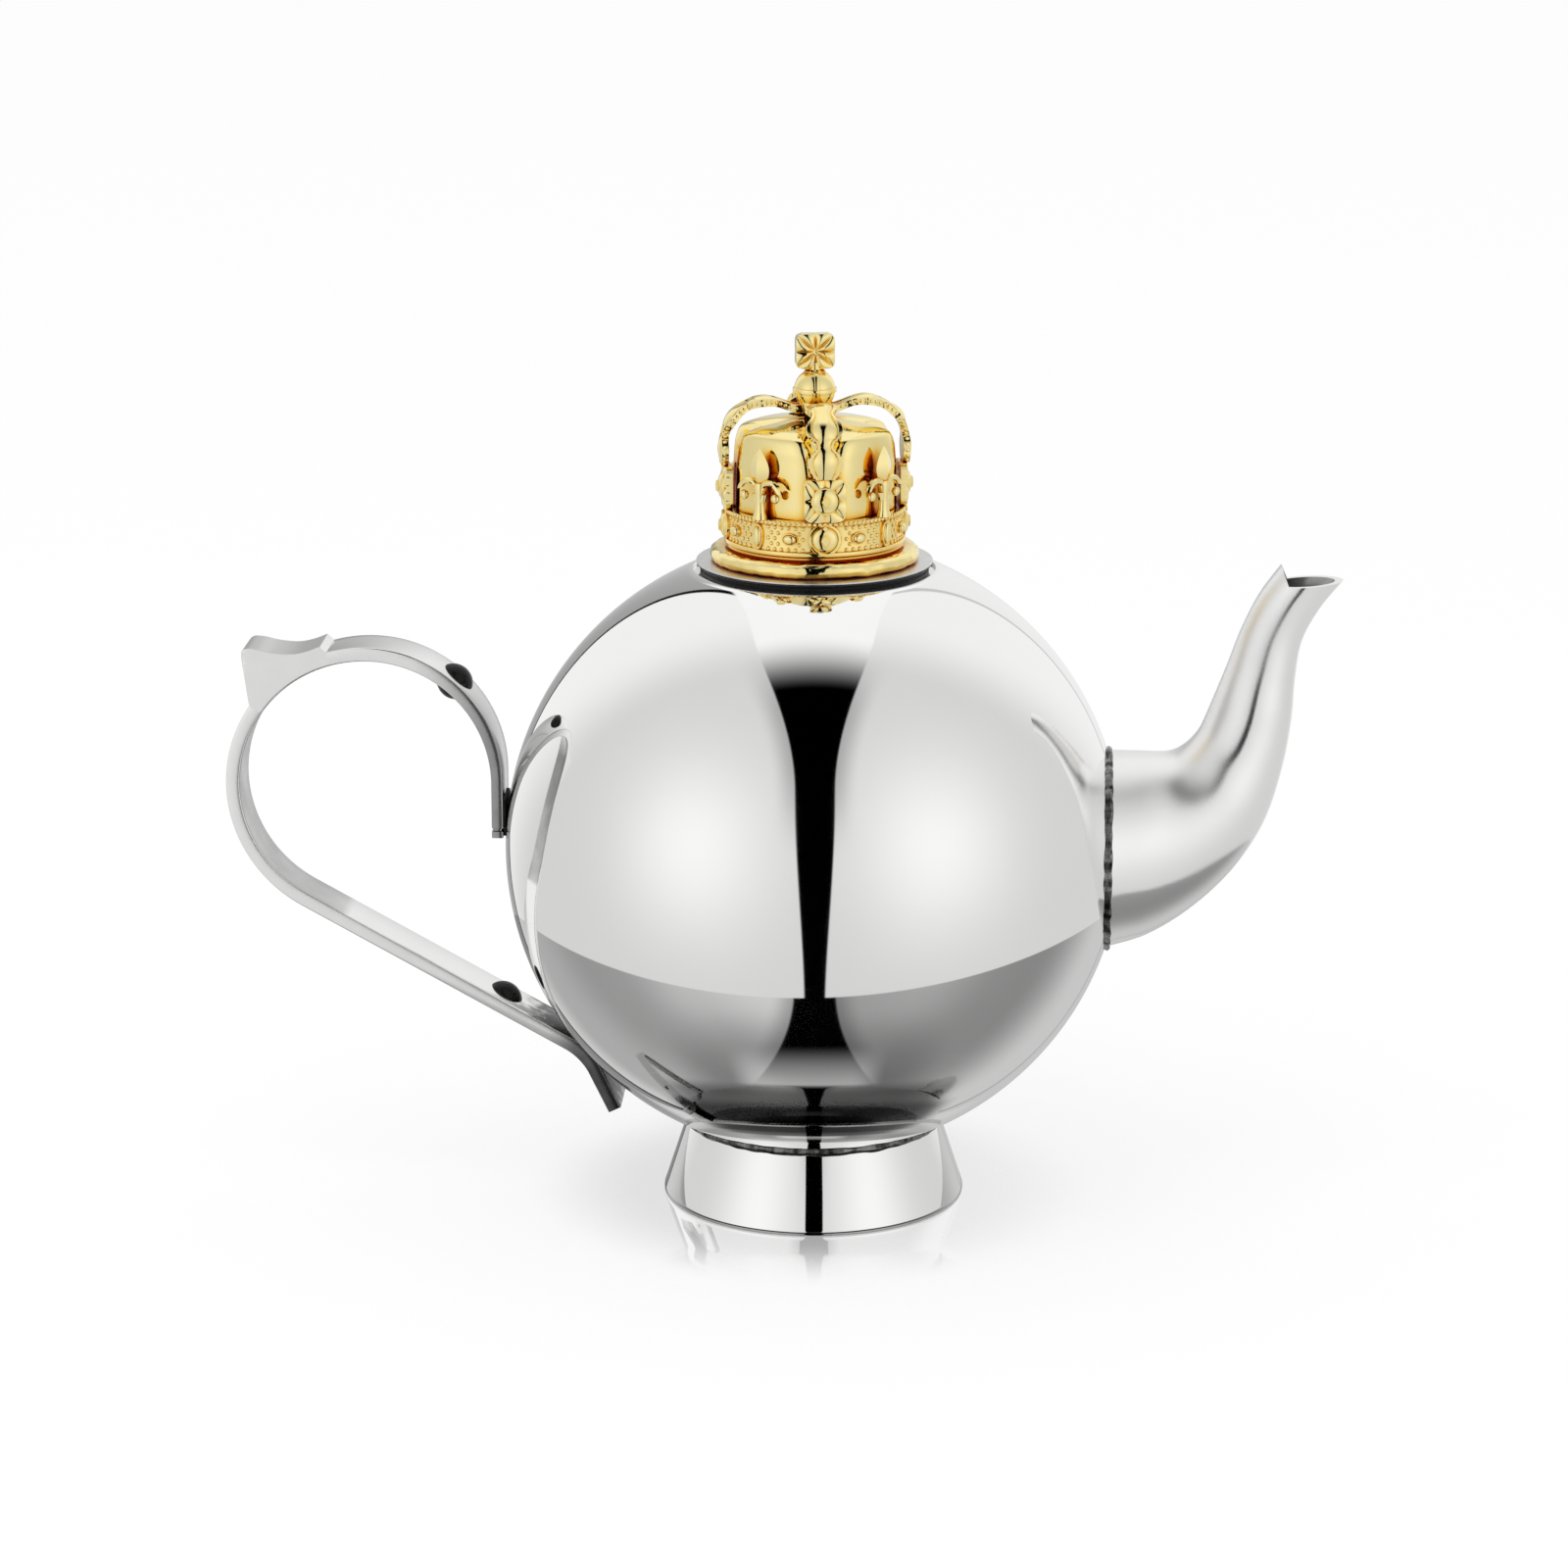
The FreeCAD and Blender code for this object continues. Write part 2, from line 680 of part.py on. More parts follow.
def crown_fleur():
    bar = circlet_top + fleur_height - fleur_petal_height
    tip = Vector(0, 0, circlet_top + fleur_height)
    root = Vector(0, 0, bar - fleur_bar_height)
    belly = bar + fleur_petal_height * 0.4
    petal = face_of([
        arc(root, Vector(fleur_petal_width / 2, 0, belly), tip),
        arc(tip, Vector(-fleur_petal_width / 2, 0, belly), root),
    ])
    stem_half = fleur_curl_band
    foot = polygon_face((
        (-fleur_foot_width / 2, 0, circlet_top), (fleur_foot_width / 2, 0, circlet_top),
        (stem_half, 0, bar), (-stem_half, 0, bar)))
    bar_face = polygon_face((
        (-fleur_bar_width / 2, 0, bar - fleur_bar_height), (fleur_bar_width / 2, 0, bar - fleur_bar_height),
        (fleur_bar_width / 2, 0, bar), (-fleur_bar_width / 2, 0, bar)))
    leaves = []
    for side in (1, -1):
        leaves.extend(fleur_curl(side, bar))
    plates = [cresting_plate(face) for face in (petal, foot, bar_face, *leaves)]
    return plates[0].fuse(plates[1:]).removeSplitter()


def arch_line(offset):
    """Edges of the outer (0) or inner face of a half arch in the X and Z plane, from the cross inwards."""
    radius = arch_shoulder_radius - offset
    start = Vector(arch_reach - offset, 0, circlet_top + cross_height)
    spring = polar(arch_centre, radius, 0)
    fall = polar(arch_centre, radius, arch_fall_angle)
    slope = math.radians(arch_fall_angle - 90)
    crossing = crossing_height - offset
    meet = Vector(fall.x - (fall.z - crossing) / math.tan(slope), 0, crossing)
    end = Vector(arch_end_radius, 0, crossing)
    return [line(start, spring), loop_arc(arch_centre, radius, 0, arch_fall_angle), line(fall, meet),
            line(meet, end)]


def arch_strip(width, proud):
    """The bent strip of a half arch, its outer face raised by proud."""
    outer = arch_line(-proud)
    inner = arch_line(arch_thickness)
    ends = [line(outer[0].Vertexes[0].Point, inner[0].Vertexes[0].Point),
            line(outer[-1].Vertexes[-1].Point, inner[-1].Vertexes[-1].Point)]
    return across_strap(Part.Face(Part.Wire(Part.__sortEdges__(outer + inner + ends))), width)


def round_mount():
    """A round setting that follows the bend of the arch near its top."""
    out = polar(arch_centre, 1, arch_bulb_angle) - arch_centre
    post = Part.makeCylinder(arch_bulb_width / 2, 2 * arch_shoulder_radius, arch_centre, out)
    return arch_strip(arch_bulb_width, arch_jewel_proud).common(post)


def lozenge_mount():
    """A lozenge setting that follows the arch just above its cross."""
    out = polar(arch_centre, 1, arch_lozenge_angle) - arch_centre
    along = out.cross(across) * (arch_lozenge_width / 2)
    side = across * (arch_lozenge_width / 2)
    corners = [arch_centre + along, arch_centre + side, arch_centre - along, arch_centre - side]
    post = Part.Face(Part.makePolygon(corners + corners[:1])).extrude(out * (2 * arch_shoulder_radius))
    return arch_strip(arch_lozenge_width, arch_jewel_proud).common(post)


def crown_arch():
    arch = arch_strip(arch_width, 0).fuse([round_mount(), lozenge_mount()]).removeSplitter()
    arch.rotate(Vector(0, 0, 0), up, -90)
    return arch


def cap_outline(shrink):
    """Half outline of the puffed cap, from its skirt inside the circlet to its top."""
    skirt = circlet_inner_radius - cap_clearance - shrink
    belly_radius = cap_belly_radius - shrink
    belly_height = circlet_top + cap_belly_above_circlet
    rise = crossing_height - arch_thickness - cap_arch_gap - shrink - belly_height
    puff = Part.BSplineCurve()
    line_points = [Vector(belly_radius * out, 0, belly_height + rise * height)
                   for out, height in cap_puff_ratios]
    puff.interpolate(line_points, InitialTangent=up, FinalTangent=Vector(-1, 0, 0))
    floor = Vector(0, 0, base_ring_top)
    return [
        line(floor, Vector(skirt, 0, base_ring_top)),
        line(Vector(skirt, 0, base_ring_top), Vector(skirt, 0, circlet_top)),
        line(Vector(skirt, 0, circlet_top), Vector(belly_radius, 0, belly_height)),
        puff.toShape(),
        line(Vector(0, 0, belly_height + rise), floor),
    ]


def crown_cap():
    outside = face_of(cap_outline(0)).revolve(Vector(0, 0, 0), up, 360)
    inside = face_of(cap_outline(cap_wall)).revolve(Vector(0, 0, 0), up, 360)
    boss = Part.makeCylinder(cap_boss_radius, crossing_height - disc_top, Vector(0, 0, disc_top))
    below = Part.makeCylinder(cap_boss_radius, base_ring_height, Vector(0, 0, disc_top))
    boss = boss.common(outside.fuse(below))
    thread = Part.makeCylinder(screw_radius + screw_thread_clearance, screw_length, Vector(0, 0, disc_top))
    return outside.cut(inside).fuse(boss).removeSplitter().cut(thread)


def crown_orb():
    orb = Part.makeSphere(orb_radius, Vector(0, 0, orb_centre_height))
    below = Part.makeCylinder(2 * orb_radius, orb_radius, Vector(0, 0, crossing_height - orb_radius))
    above = Part.makeCylinder(2 * orb_radius, orb_radius, Vector(0, 0, orb_top))
    return orb.cut(below).cut(above).cut(crown_orb_band())


def crown_orb_band():
    middle = orb_centre_height
    return ring(orb_radius - orb_band_seat, orb_band_radius, middle - orb_band_height / 2,
                middle + orb_band_height / 2)


def finial_cross():
    cross = flared_cross(finial_width, finial_height, finial_waist, finial_corner_gap, finial_thickness)
    cross.translate(Vector(0, 0, orb_top + finial_stem_height + finial_height / 2))
    stem = Part.makeCylinder(finial_stem_radius, finial_stem_height + finial_height / 3,
                             Vector(0, 0, orb_top))
    return cross.fuse(stem).removeSplitter()


def pot_nodes():
    upper, lower = ball_halves()
    foot = foot_ring()
    left, right = spout_halves()
    blank = strap_blank()
    upper_place, lower_place = plug_places()
    return {
        "upper_bowl": upper,
        "lower_bowl": lower,
        "mouth_collar": mouth_collar(),
        "foot_ring": foot,
        "foot_solder": foot_solder(foot),
        "spout_left_half": left,
        "spout_right_half": right,
        "spout_solder": spout_solder((left, right)),
        "handle_strap": handle_strap(blank),
        "thumb_rest": thumb_rest(),
        "handle_upper_plug": plug(upper_place, (1, -1), blank),
        "handle_lower_plug": plug(lower_place, (-1,), blank),
        "handle_upper_solder": upper_solder(),
        "handle_lower_solder": lower_solder(blank),
    }


def lid_nodes():
    nodes = {
        "lid_seal": lid_seal(),
        "lid_disc": lid_disc(),
        "lid_skirt": lid_skirt(),
        "lid_fixing_screw": fixing_screw(),
        "lid_screw_washer": screw_washer(),
        "crown_base_ring": crown_base_ring(),
        "crown_circlet": circlet_blank(circlet_inner_radius),
        "crown_cap": around_crown(crown_cap(), crown_turn),
        "crown_orb": crown_orb(),
        "crown_orb_band": crown_orb_band(),
        "crown_finial_cross": around_crown(finial_cross(), crown_turn),
    }
    quarters = (0, 90, 180, 270)
    ovals = [quarter + side * oval_gem_angle for quarter in quarters for side in (1, -1)]
    nodes["circlet_round_gems"] = gem_group(round_gem(), quarters)
    nodes["circlet_tall_gems"] = gem_group(tall_gem(), [quarter + 45 for quarter in quarters])
    nodes["circlet_oval_gems"] = gem_group(oval_gem(), ovals)
    for quarter, name in zip(quarters, crest_names):
        nodes["crown_cross_" + name] = around_crown(crown_cross(), crown_turn + quarter)
        nodes["crown_arch_" + name] = around_crown(crown_arch(), crown_turn + quarter)
    for quarter, name in zip(quarters, ("front_right", "back_right", "back_left", "front_left")):
        nodes["crown_fleur_" + name] = around_crown(crown_fleur(), crown_turn + quarter + 45)
    return nodes


def main():
    os.makedirs("parts", exist_ok=True)
    for name, shape in {**pot_nodes(), **lid_nodes()}.items():
        shape.exportStep("parts/" + name + ".step")
        print(name, "solids", len(shape.Solids), "valid", shape.isValid(), "volume", round(shape.Volume, 2))


main()
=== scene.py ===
import bpy
import math
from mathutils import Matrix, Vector


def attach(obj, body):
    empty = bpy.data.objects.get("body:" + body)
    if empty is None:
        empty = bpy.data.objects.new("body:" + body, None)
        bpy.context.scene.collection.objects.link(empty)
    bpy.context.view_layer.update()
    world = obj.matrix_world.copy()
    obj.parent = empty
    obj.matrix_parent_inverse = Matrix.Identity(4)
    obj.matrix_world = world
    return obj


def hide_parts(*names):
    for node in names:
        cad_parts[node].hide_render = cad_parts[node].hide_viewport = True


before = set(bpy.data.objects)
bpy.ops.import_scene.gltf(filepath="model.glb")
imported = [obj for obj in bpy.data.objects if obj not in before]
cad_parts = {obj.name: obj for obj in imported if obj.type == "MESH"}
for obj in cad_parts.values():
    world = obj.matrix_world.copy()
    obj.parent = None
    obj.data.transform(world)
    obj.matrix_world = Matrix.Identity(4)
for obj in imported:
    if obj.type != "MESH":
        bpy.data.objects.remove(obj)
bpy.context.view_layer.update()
mm = 0.001
fullTurn = 2 * math.pi
bumpDepth = 0.05 * mm
print("frame loaded:", len(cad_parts), "nodes")


# Working with objects and selections

def deselectAll():
    if bpy.context.mode != "OBJECT":
        bpy.ops.object.mode_set(mode="OBJECT")
    bpy.ops.object.select_all(action="DESELECT")


def pickOnly(piece):
    deselectAll()
    piece.select_set(True)
    bpy.context.view_layer.objects.active = piece


def nameActive(name):
    piece = bpy.context.active_object
    piece.name = name
    piece.data.name = name
    return piece


def openPiece(piece):
    pickOnly(piece)
    bpy.ops.object.mode_set(mode="EDIT")
    bpy.ops.mesh.select_mode(type="VERT")
    bpy.ops.mesh.select_all(action="SELECT")


def openNew(name):  # names the primitive just added, puts its place in its mesh and opens it
    piece = nameActive(name)
    bpy.ops.object.transform_apply(location=True, rotation=True, scale=True)
    openPiece(piece)
    return piece


def closePiece(piece, merge=True, smoothAngle=35):
    if merge:
        bpy.ops.mesh.select_all(action="SELECT")
        bpy.ops.mesh.remove_doubles(threshold=0.002 * mm)
        bpy.ops.mesh.normals_make_consistent(inside=False)
    pickOnly(piece)
    bpy.ops.object.shade_smooth_by_angle(angle=math.radians(smoothAngle))
    return piece


def selectParts(piece, kind, test):  # kind is VERT, EDGE or FACE; test looks at a part's place
    bpy.ops.mesh.select_mode(type=kind)
    bpy.ops.mesh.select_all(action="DESELECT")
    bpy.ops.object.mode_set(mode="OBJECT")
    mesh = piece.data
    parts = {"VERT": mesh.vertices, "EDGE": mesh.edges, "FACE": mesh.polygons}[kind]
    for part in parts:
        part.select = test(part)
    bpy.ops.object.mode_set(mode="EDIT")


def copyOf(piece, name):
    pickOnly(piece)
    bpy.ops.object.duplicate()
    return nameActive(name)


def applyModifier(piece, kind, **settings):
    pickOnly(piece)
    modifier = piece.modifiers.new(kind.lower(), kind)
    for key, value in settings.items():
        setattr(modifier, key, value)
    bpy.ops.object.modifier_apply(modifier=modifier.name)


def softenEdges(piece, width, segments=3, sharpness=40):  # rounds every edge sharper than the angle
    openPiece(piece)
    bpy.ops.mesh.select_mode(type="EDGE")
    bpy.ops.mesh.select_all(action="DESELECT")
    bpy.ops.mesh.edges_select_sharp(sharpness=math.radians(sharpness))
    bpy.ops.mesh.bevel(offset=width * mm, segments=segments, affect="EDGES", clamp_overlap=True)
    closePiece(piece)


def turnPicked(degrees, axis, centre=(0, 0, 0)):  # without a window the operator turns the other way
    bpy.ops.transform.rotate(value=-math.radians(degrees), orient_axis=axis, center_override=centre)


def growPicked(x, y, z, centre=(0, 0, 0)):
    bpy.ops.transform.resize(value=(x, y, z), center_override=centre)


def movePicked(x, y, z):  # by millimetres
    bpy.ops.transform.translate(value=(x * mm, y * mm, z * mm))


def extrudeBy(step):
    bpy.ops.mesh.extrude_region_move(TRANSFORM_OT_translate={"value": step})


def eased(outline, ease, steps=4):  # the same outline with its inner corners rounded
    points = [Vector(point) for point in outline]
    result = [points[0]]
    for before, corner, after in zip(points, points[1:], points[2:]):
        start = corner + (before - corner).normalized() * min(ease, (before - corner).length * 0.45)
        end = corner + (after - corner).normalized() * min(ease, (after - corner).length * 0.45)
        for step in range(steps + 1):
            part = step / steps
            result.append(start.lerp(corner, part).lerp(corner.lerp(end, part), part))
    result.append(points[-1])
    return result


def arcPoints(centre, radius, first, last, steps):  # degrees from the outward side, turning upwards
    places = []
    for step in range(steps + 1):
        angle = math.radians(first + (last - first) * step / steps)
        places.append(Vector((centre[0] + radius * math.cos(angle), centre[1] + radius * math.sin(angle))))
    return places


def lathe(name, outline, segments):  # (radius, height) points in mm, spun about the pot's axis
    deselectAll()
    bpy.ops.mesh.primitive_plane_add(size=mm, location=(outline[0][0] * mm, 0, outline[0][1] * mm))
    piece = openNew(name)
    bpy.ops.mesh.merge(type="CENTER")
    for (radius, height), (nextRadius, nextHeight) in zip(outline, outline[1:]):
        step = ((nextRadius - radius) * mm, 0, (nextHeight - height) * mm)
        bpy.ops.mesh.extrude_vertices_move(TRANSFORM_OT_translate={"value": step})
    bpy.ops.mesh.select_all(action="SELECT")
    bpy.ops.mesh.spin(steps=segments, angle=fullTurn, center=(0, 0, 0), axis=(0, 0, 1))
    return closePiece(piece)


def smoothThrough(points, steps):  # an even curve through a few measured points, each a list of numbers
    gaps = [max(math.dist(a, b), 1e-6) for a, b in zip(points, points[1:])]
    slopes = []
    for index in range(len(points)):
        before, after = max(index - 1, 0), min(index, len(gaps) - 1)
        share = gaps[after] / (gaps[before] + gaps[after])
        slopes.append([
            share * (points[before + 1][axis] - points[before][axis]) / gaps[before]
            + (1 - share) * (points[after + 1][axis] - points[after][axis]) / gaps[after]
            for axis in range(len(points[0]))])
    curve = []
    for index, gap in enumerate(gaps):
        for step in range(steps):
            t = step / steps
            weights = (2 * t ** 3 - 3 * t ** 2 + 1, (t ** 3 - 2 * t ** 2 + t) * gap,
                       3 * t ** 2 - 2 * t ** 3, (t ** 3 - t ** 2) * gap)
            parts = zip(points[index], slopes[index], points[index + 1], slopes[index + 1])
            curve.append([sum(w * v for w, v in zip(weights, part)) for part in parts])
    curve.append(list(points[-1]))
    return curve


# Materials: a socket that does its sums as Python expressions

class Shade:
    def __init__(self, tree, socket=None):
        self.tree = tree
        self.socket = socket

    def node(self, kind, settings=None, inputs=None, output=0):
        made = self.tree.nodes.new(kind)
        for key, value in (settings or {}).items():
            setattr(made, key, value)
        for key, value in (inputs or {}).items():
            if isinstance(value, Shade):
                self.tree.links.new(value.socket, made.inputs[key])
            else:
                made.inputs[key].default_value = value
        return Shade(self.tree, made.outputs[output])

    def sums(self, operation, first, second=0.0, third=0.0):
        return self.node("ShaderNodeMath", {"operation": operation}, {0: first, 1: second, 2: third})

    def __add__(self, other):
        return self.sums("ADD", self, other)

    def __sub__(self, other):
        return self.sums("SUBTRACT", self, other)

    def __mul__(self, other):
        return self.sums("MULTIPLY", self, other)

    def __truediv__(self, other):
        return self.sums("DIVIDE", self, other)

    def __radd__(self, other):
        return self.sums("ADD", other, self)

    def __rsub__(self, other):
        return self.sums("SUBTRACT", other, self)

    def __rmul__(self, other):
        return self.sums("MULTIPLY", other, self)

    def __pow__(self, other):
        return self.sums("POWER", self, other)

    def eased(self, low, high):  # 0 below low, 1 above high, soft between
        return self.node("ShaderNodeMapRange", {"interpolation_type": "SMOOTHSTEP"},
                         {0: self, 1: low, 2: high, 3: 0.0, 4: 1.0})

    def noise(self, scale, detail=2.0, stretch=(1, 1, 1)):
        place = self.node("ShaderNodeTexCoord", output="Object")
        place = self.node("ShaderNodeVectorMath", {"operation": "MULTIPLY"}, {0: place, 1: stretch})
        return self.node("ShaderNodeTexNoise", None, {"Vector": place, "Scale": scale, "Detail": detail})

    def mixed(self, factor, first, second):
        return self.node("ShaderNodeMix", {"data_type": "RGBA"}, {0: factor, 6: first, 7: second}, output=2)

    def bumped(self, strength, height):
        return self.node("ShaderNodeBump", None,
                         {"Strength": strength, "Distance": bumpDepth, "Height": height})


def between(low, high, share):  # numbers or shades; low where the share is 0, high where it is 1
    return low + (high - low) * share


def emptyTree(holder):  # the node tree of a new material or world, with nothing in it
    holder.use_nodes = True
    for old in list(holder.node_tree.nodes):
        holder.node_tree.nodes.remove(old)
    return holder.node_tree


def newMaterial(name):
    material = bpy.data.materials.new(name)
    tree = emptyTree(material)
    shader = tree.nodes.new("ShaderNodeBsdfPrincipled")
    output = tree.nodes.new("ShaderNodeOutputMaterial")
    tree.links.new(shader.outputs[0], output.inputs["Surface"])
    return material, Shade(tree), shader


def feed(paint, shader, **values):  # values or sums for the shader's sockets, spaces written as underscores
    for key, value in values.items():
        target = shader.inputs[key.replace("_", " ")]
        if isinstance(value, Shade):
            paint.tree.links.new(value.socket, target)
        else:
            target.default_value = value


def metalFinish(name, pale, deep, smooth, rough, grain, bump=0.0, bumpScale=900, spread=0.5):
    material, paint, shader = newMaterial(name)
    cloud = paint.noise(grain, 3.0).eased(0.5 - spread, 0.5 + spread)
    feed(paint, shader, Metallic=1.0, Base_Color=paint.mixed(cloud, pale, deep),
         Roughness=between(smooth, rough, cloud))
    if bump:
        feed(paint, shader, Normal=paint.bumped(bump, paint.noise(bumpScale, 2.0)))
    return material


def dullFinish(name, pale, deep, smooth, rough, grain, bump, gloss=0.5):
    material, paint, shader = newMaterial(name)
    cloud = paint.noise(grain, 4.0)
    feed(paint, shader, Base_Color=paint.mixed(cloud, pale, deep), Roughness=between(smooth, rough, cloud),
         Specular_IOR_Level=gloss, Normal=paint.bumped(bump, cloud))
    return material


def placeParts(paint, axes):  # an object's own X, Y or Z at each point, in metres
    place = paint.node("ShaderNodeTexCoord", output="Object")
    return [paint.node("ShaderNodeSeparateXYZ", None, {0: place}, axis) for axis in axes]


spoutShine = {"pale": (0.94, 0.938, 0.932, 1), "deep": (0.90, 0.898, 0.892, 1), "smooth": 0.09, "rough": 0.20,
              "satin": 0.24, "satinZ": (0.079, 0.091), "grain": 70, "neckX": 0.0801, "neckZ": 0.0827,
              "neckLean": 0.35, "neckEdge": (-0.001, 0.004), "bump": 0.1, "bumpScale": 2400}


def spoutFinish():  # satin, most of all on the side of the neck that faces the lid
    material, paint, shader = newMaterial("spoutSilver")
    x, z = placeParts(paint, "XZ")
    cloud = paint.noise(spoutShine["grain"], 3.0)
    neckLine = spoutShine["neckX"] + (z - spoutShine["neckZ"]) * spoutShine["neckLean"]
    satin = (neckLine - x).eased(*spoutShine["neckEdge"]) * z.eased(*spoutShine["satinZ"])
    feed(paint, shader, Metallic=1.0, Base_Color=paint.mixed(cloud, spoutShine["pale"], spoutShine["deep"]),
         Roughness=between(spoutShine["smooth"], spoutShine["rough"], cloud) + spoutShine["satin"] * satin,
         Normal=paint.bumped(spoutShine["bump"], paint.noise(spoutShine["bumpScale"], 2.0)))
    return material


# the dark colour is painted shade inside the back loop and on the leg; the near-black colour is painted shade
# close to the ball
strapShine = {"pale": (0.94, 0.938, 0.932, 1), "deep": (0.89, 0.888, 0.882, 1),
              "paintedShade": (0.30, 0.30, 0.298, 1), "smooth": 0.06, "rough": 0.14, "satin": 0.22, "grain": 120,
              "inside": 0.62, "loopX": -0.09005, "loopZ": 0.0856, "loopEdge": (0.0270, 0.0278),
              "backX": (-0.102, -0.086), "leg": 0.75, "legX": (-0.078, -0.064), "legZ": (0.070, 0.076),
              "shadeNearBall": (0.05, 0.05, 0.049, 1), "shadeNearBallShare": 0.94, "shadeNearBallEdge": (0.0032, 0.0072),
              "shadeNearBallRag": 0.006, "shadeNearBallGrain": 420, "shadeNearBallZ": (0.050, 0.060), "ballRadius": 0.0625,
              "ballHeight": 0.0731}


def strapFinish():  # polished, but left satin inside the back loop and near the ball; painted shade darkens the inside of the back loop, the leg and the strap where it comes down to the ball
    material, paint, shader = newMaterial("strapSilver")
    x, y, z = placeParts(paint, "XYZ")
    cloud = paint.noise(strapShine["grain"], 3.0)
    across, above = x - strapShine["loopX"], z - strapShine["loopZ"]
    fromLoop = (across * across + above * above) ** 0.5
    # painted shade inside the back loop, where the strap is also satin
    inLoop = 1 - fromLoop.eased(*strapShine["loopEdge"])
    inside = inLoop * (1 - x.eased(*strapShine["backX"])) * (0.7 + 0.6 * cloud)
    # painted shade on the leg against the ball
    leg = x.eased(*strapShine["legX"]) * z.eased(*strapShine["legZ"])
    paintedShade = paint.sums("MAXIMUM", inside * strapShine["inside"], leg * strapShine["leg"])
    # painted shade, near black with a ragged edge, on the low strap close to the ball, where it is also satin
    up = z - strapShine["ballHeight"]
    fromBall = (x * x + y * y + up * up) ** 0.5 - strapShine["ballRadius"]
    ragged = fromBall + strapShine["shadeNearBallRag"] * (paint.noise(strapShine["shadeNearBallGrain"], 3.0) - 0.5)
    shadeNearBall = (1 - ragged.eased(*strapShine["shadeNearBallEdge"])) * (1 - z.eased(*strapShine["shadeNearBallZ"]))
    colour = paint.mixed(cloud, strapShine["pale"], strapShine["deep"])
    colour = paint.mixed(paintedShade, colour, strapShine["paintedShade"])
    feed(paint, shader, Metallic=1.0,
         Base_Color=paint.mixed(strapShine["shadeNearBallShare"] * shadeNearBall, colour, strapShine["shadeNearBall"]),
         Roughness=between(strapShine["smooth"], strapShine["rough"], cloud)
         + strapShine["satin"] * paint.sums("MAXIMUM", inside, shadeNearBall))
    return material


# the dark and tail colours are painted shade
brushing = {"pale": (0.94, 0.938, 0.932, 1), "deep": (0.88, 0.878, 0.873, 1), "paintedShade": (0.26, 0.26, 0.258, 1),
            "darkX": (-0.083, -0.064), "darkZ": (0.070, 0.076), "smooth": 0.15, "rough": 0.22, "grain": 240,
            "along": (1, 8, 1), "bump": 0.06, "bumpScale": 1800, "tail": (0.05, 0.05, 0.049, 1),
            "tailX": (-0.056, -0.047), "tailZ": (0.032, 0.037)}


def brushedFinish():  # brushed sides of the handle, with painted shade where they come down to the ball and on the tail low by it
    material, paint, shader = newMaterial("brushedSilver")
    x, z = placeParts(paint, "XZ")
    cloud = paint.noise(brushing["grain"], 3.0, brushing["along"])
    # painted shade on the leg's sides against the ball
    paintedShade = x.eased(*brushing["darkX"]) * z.eased(*brushing["darkZ"])
    colour = paint.mixed(cloud, brushing["pale"], brushing["deep"])
    colour = paint.mixed(paintedShade * (0.75 + 0.25 * cloud), colour, brushing["paintedShade"])
    # painted shade, near black, on the tail's sides low by the ball
    tail = x.eased(*brushing["tailX"]) * (1 - z.eased(*brushing["tailZ"]))
    scratches = paint.noise(brushing["bumpScale"], 2.0, brushing["along"])
    feed(paint, shader, Metallic=1.0,
         Base_Color=paint.mixed(tail * (0.7 + 0.3 * cloud), colour, brushing["tail"]),
         Roughness=between(brushing["smooth"], brushing["rough"], cloud),
         Normal=paint.bumped(brushing["bump"], scratches))
    return material


# the recess colour is painted shade, and the pale colour is the painted highlight of open places
goldFacts = {"pale": (1.0, 0.87, 0.43, 1), "rich": (1.0, 0.67, 0.13, 1), "recessShade": (0.42, 0.075, 0.003, 1),
             "reach": 2.6, "recessed": (0.15, 0.72), "raised": (0.58, 1.0), "smooth": 0.04, "rough": 0.11,
             "recessRough": 0.15, "grain": 320, "bump": 0.12, "bumpScale": 700}


def goldFinish():  # cast gold, polished on its high places; its recesses get a painted deep red-brown shade and its open places a paler painted highlight
    material, paint, shader = newMaterial("crownGold")
    cloud = paint.noise(goldFacts["grain"], 3.0)
    opened = paint.node("ShaderNodeAmbientOcclusion", {"samples": 8},
                        {"Distance": goldFacts["reach"] * mm}, "AO")
    # painted shade: recesses, found by ambient occlusion, turn deep red-brown
    recessShade = 1 - opened.eased(*goldFacts["recessed"])
    # painted highlight: open, high places get the paler gold
    high = opened.eased(*goldFacts["raised"]) * (0.75 + 0.25 * cloud)
    colour = paint.mixed(high, goldFacts["rich"], goldFacts["pale"])
    rough = between(goldFacts["smooth"], goldFacts["rough"], cloud) + goldFacts["recessRough"] * recessShade
    feed(paint, shader, Metallic=1.0, Base_Color=paint.mixed(recessShade, colour, goldFacts["recessShade"]),
         Roughness=rough,
         Normal=paint.bumped(goldFacts["bump"], paint.noise(goldFacts["bumpScale"], 2.0)))
    return material


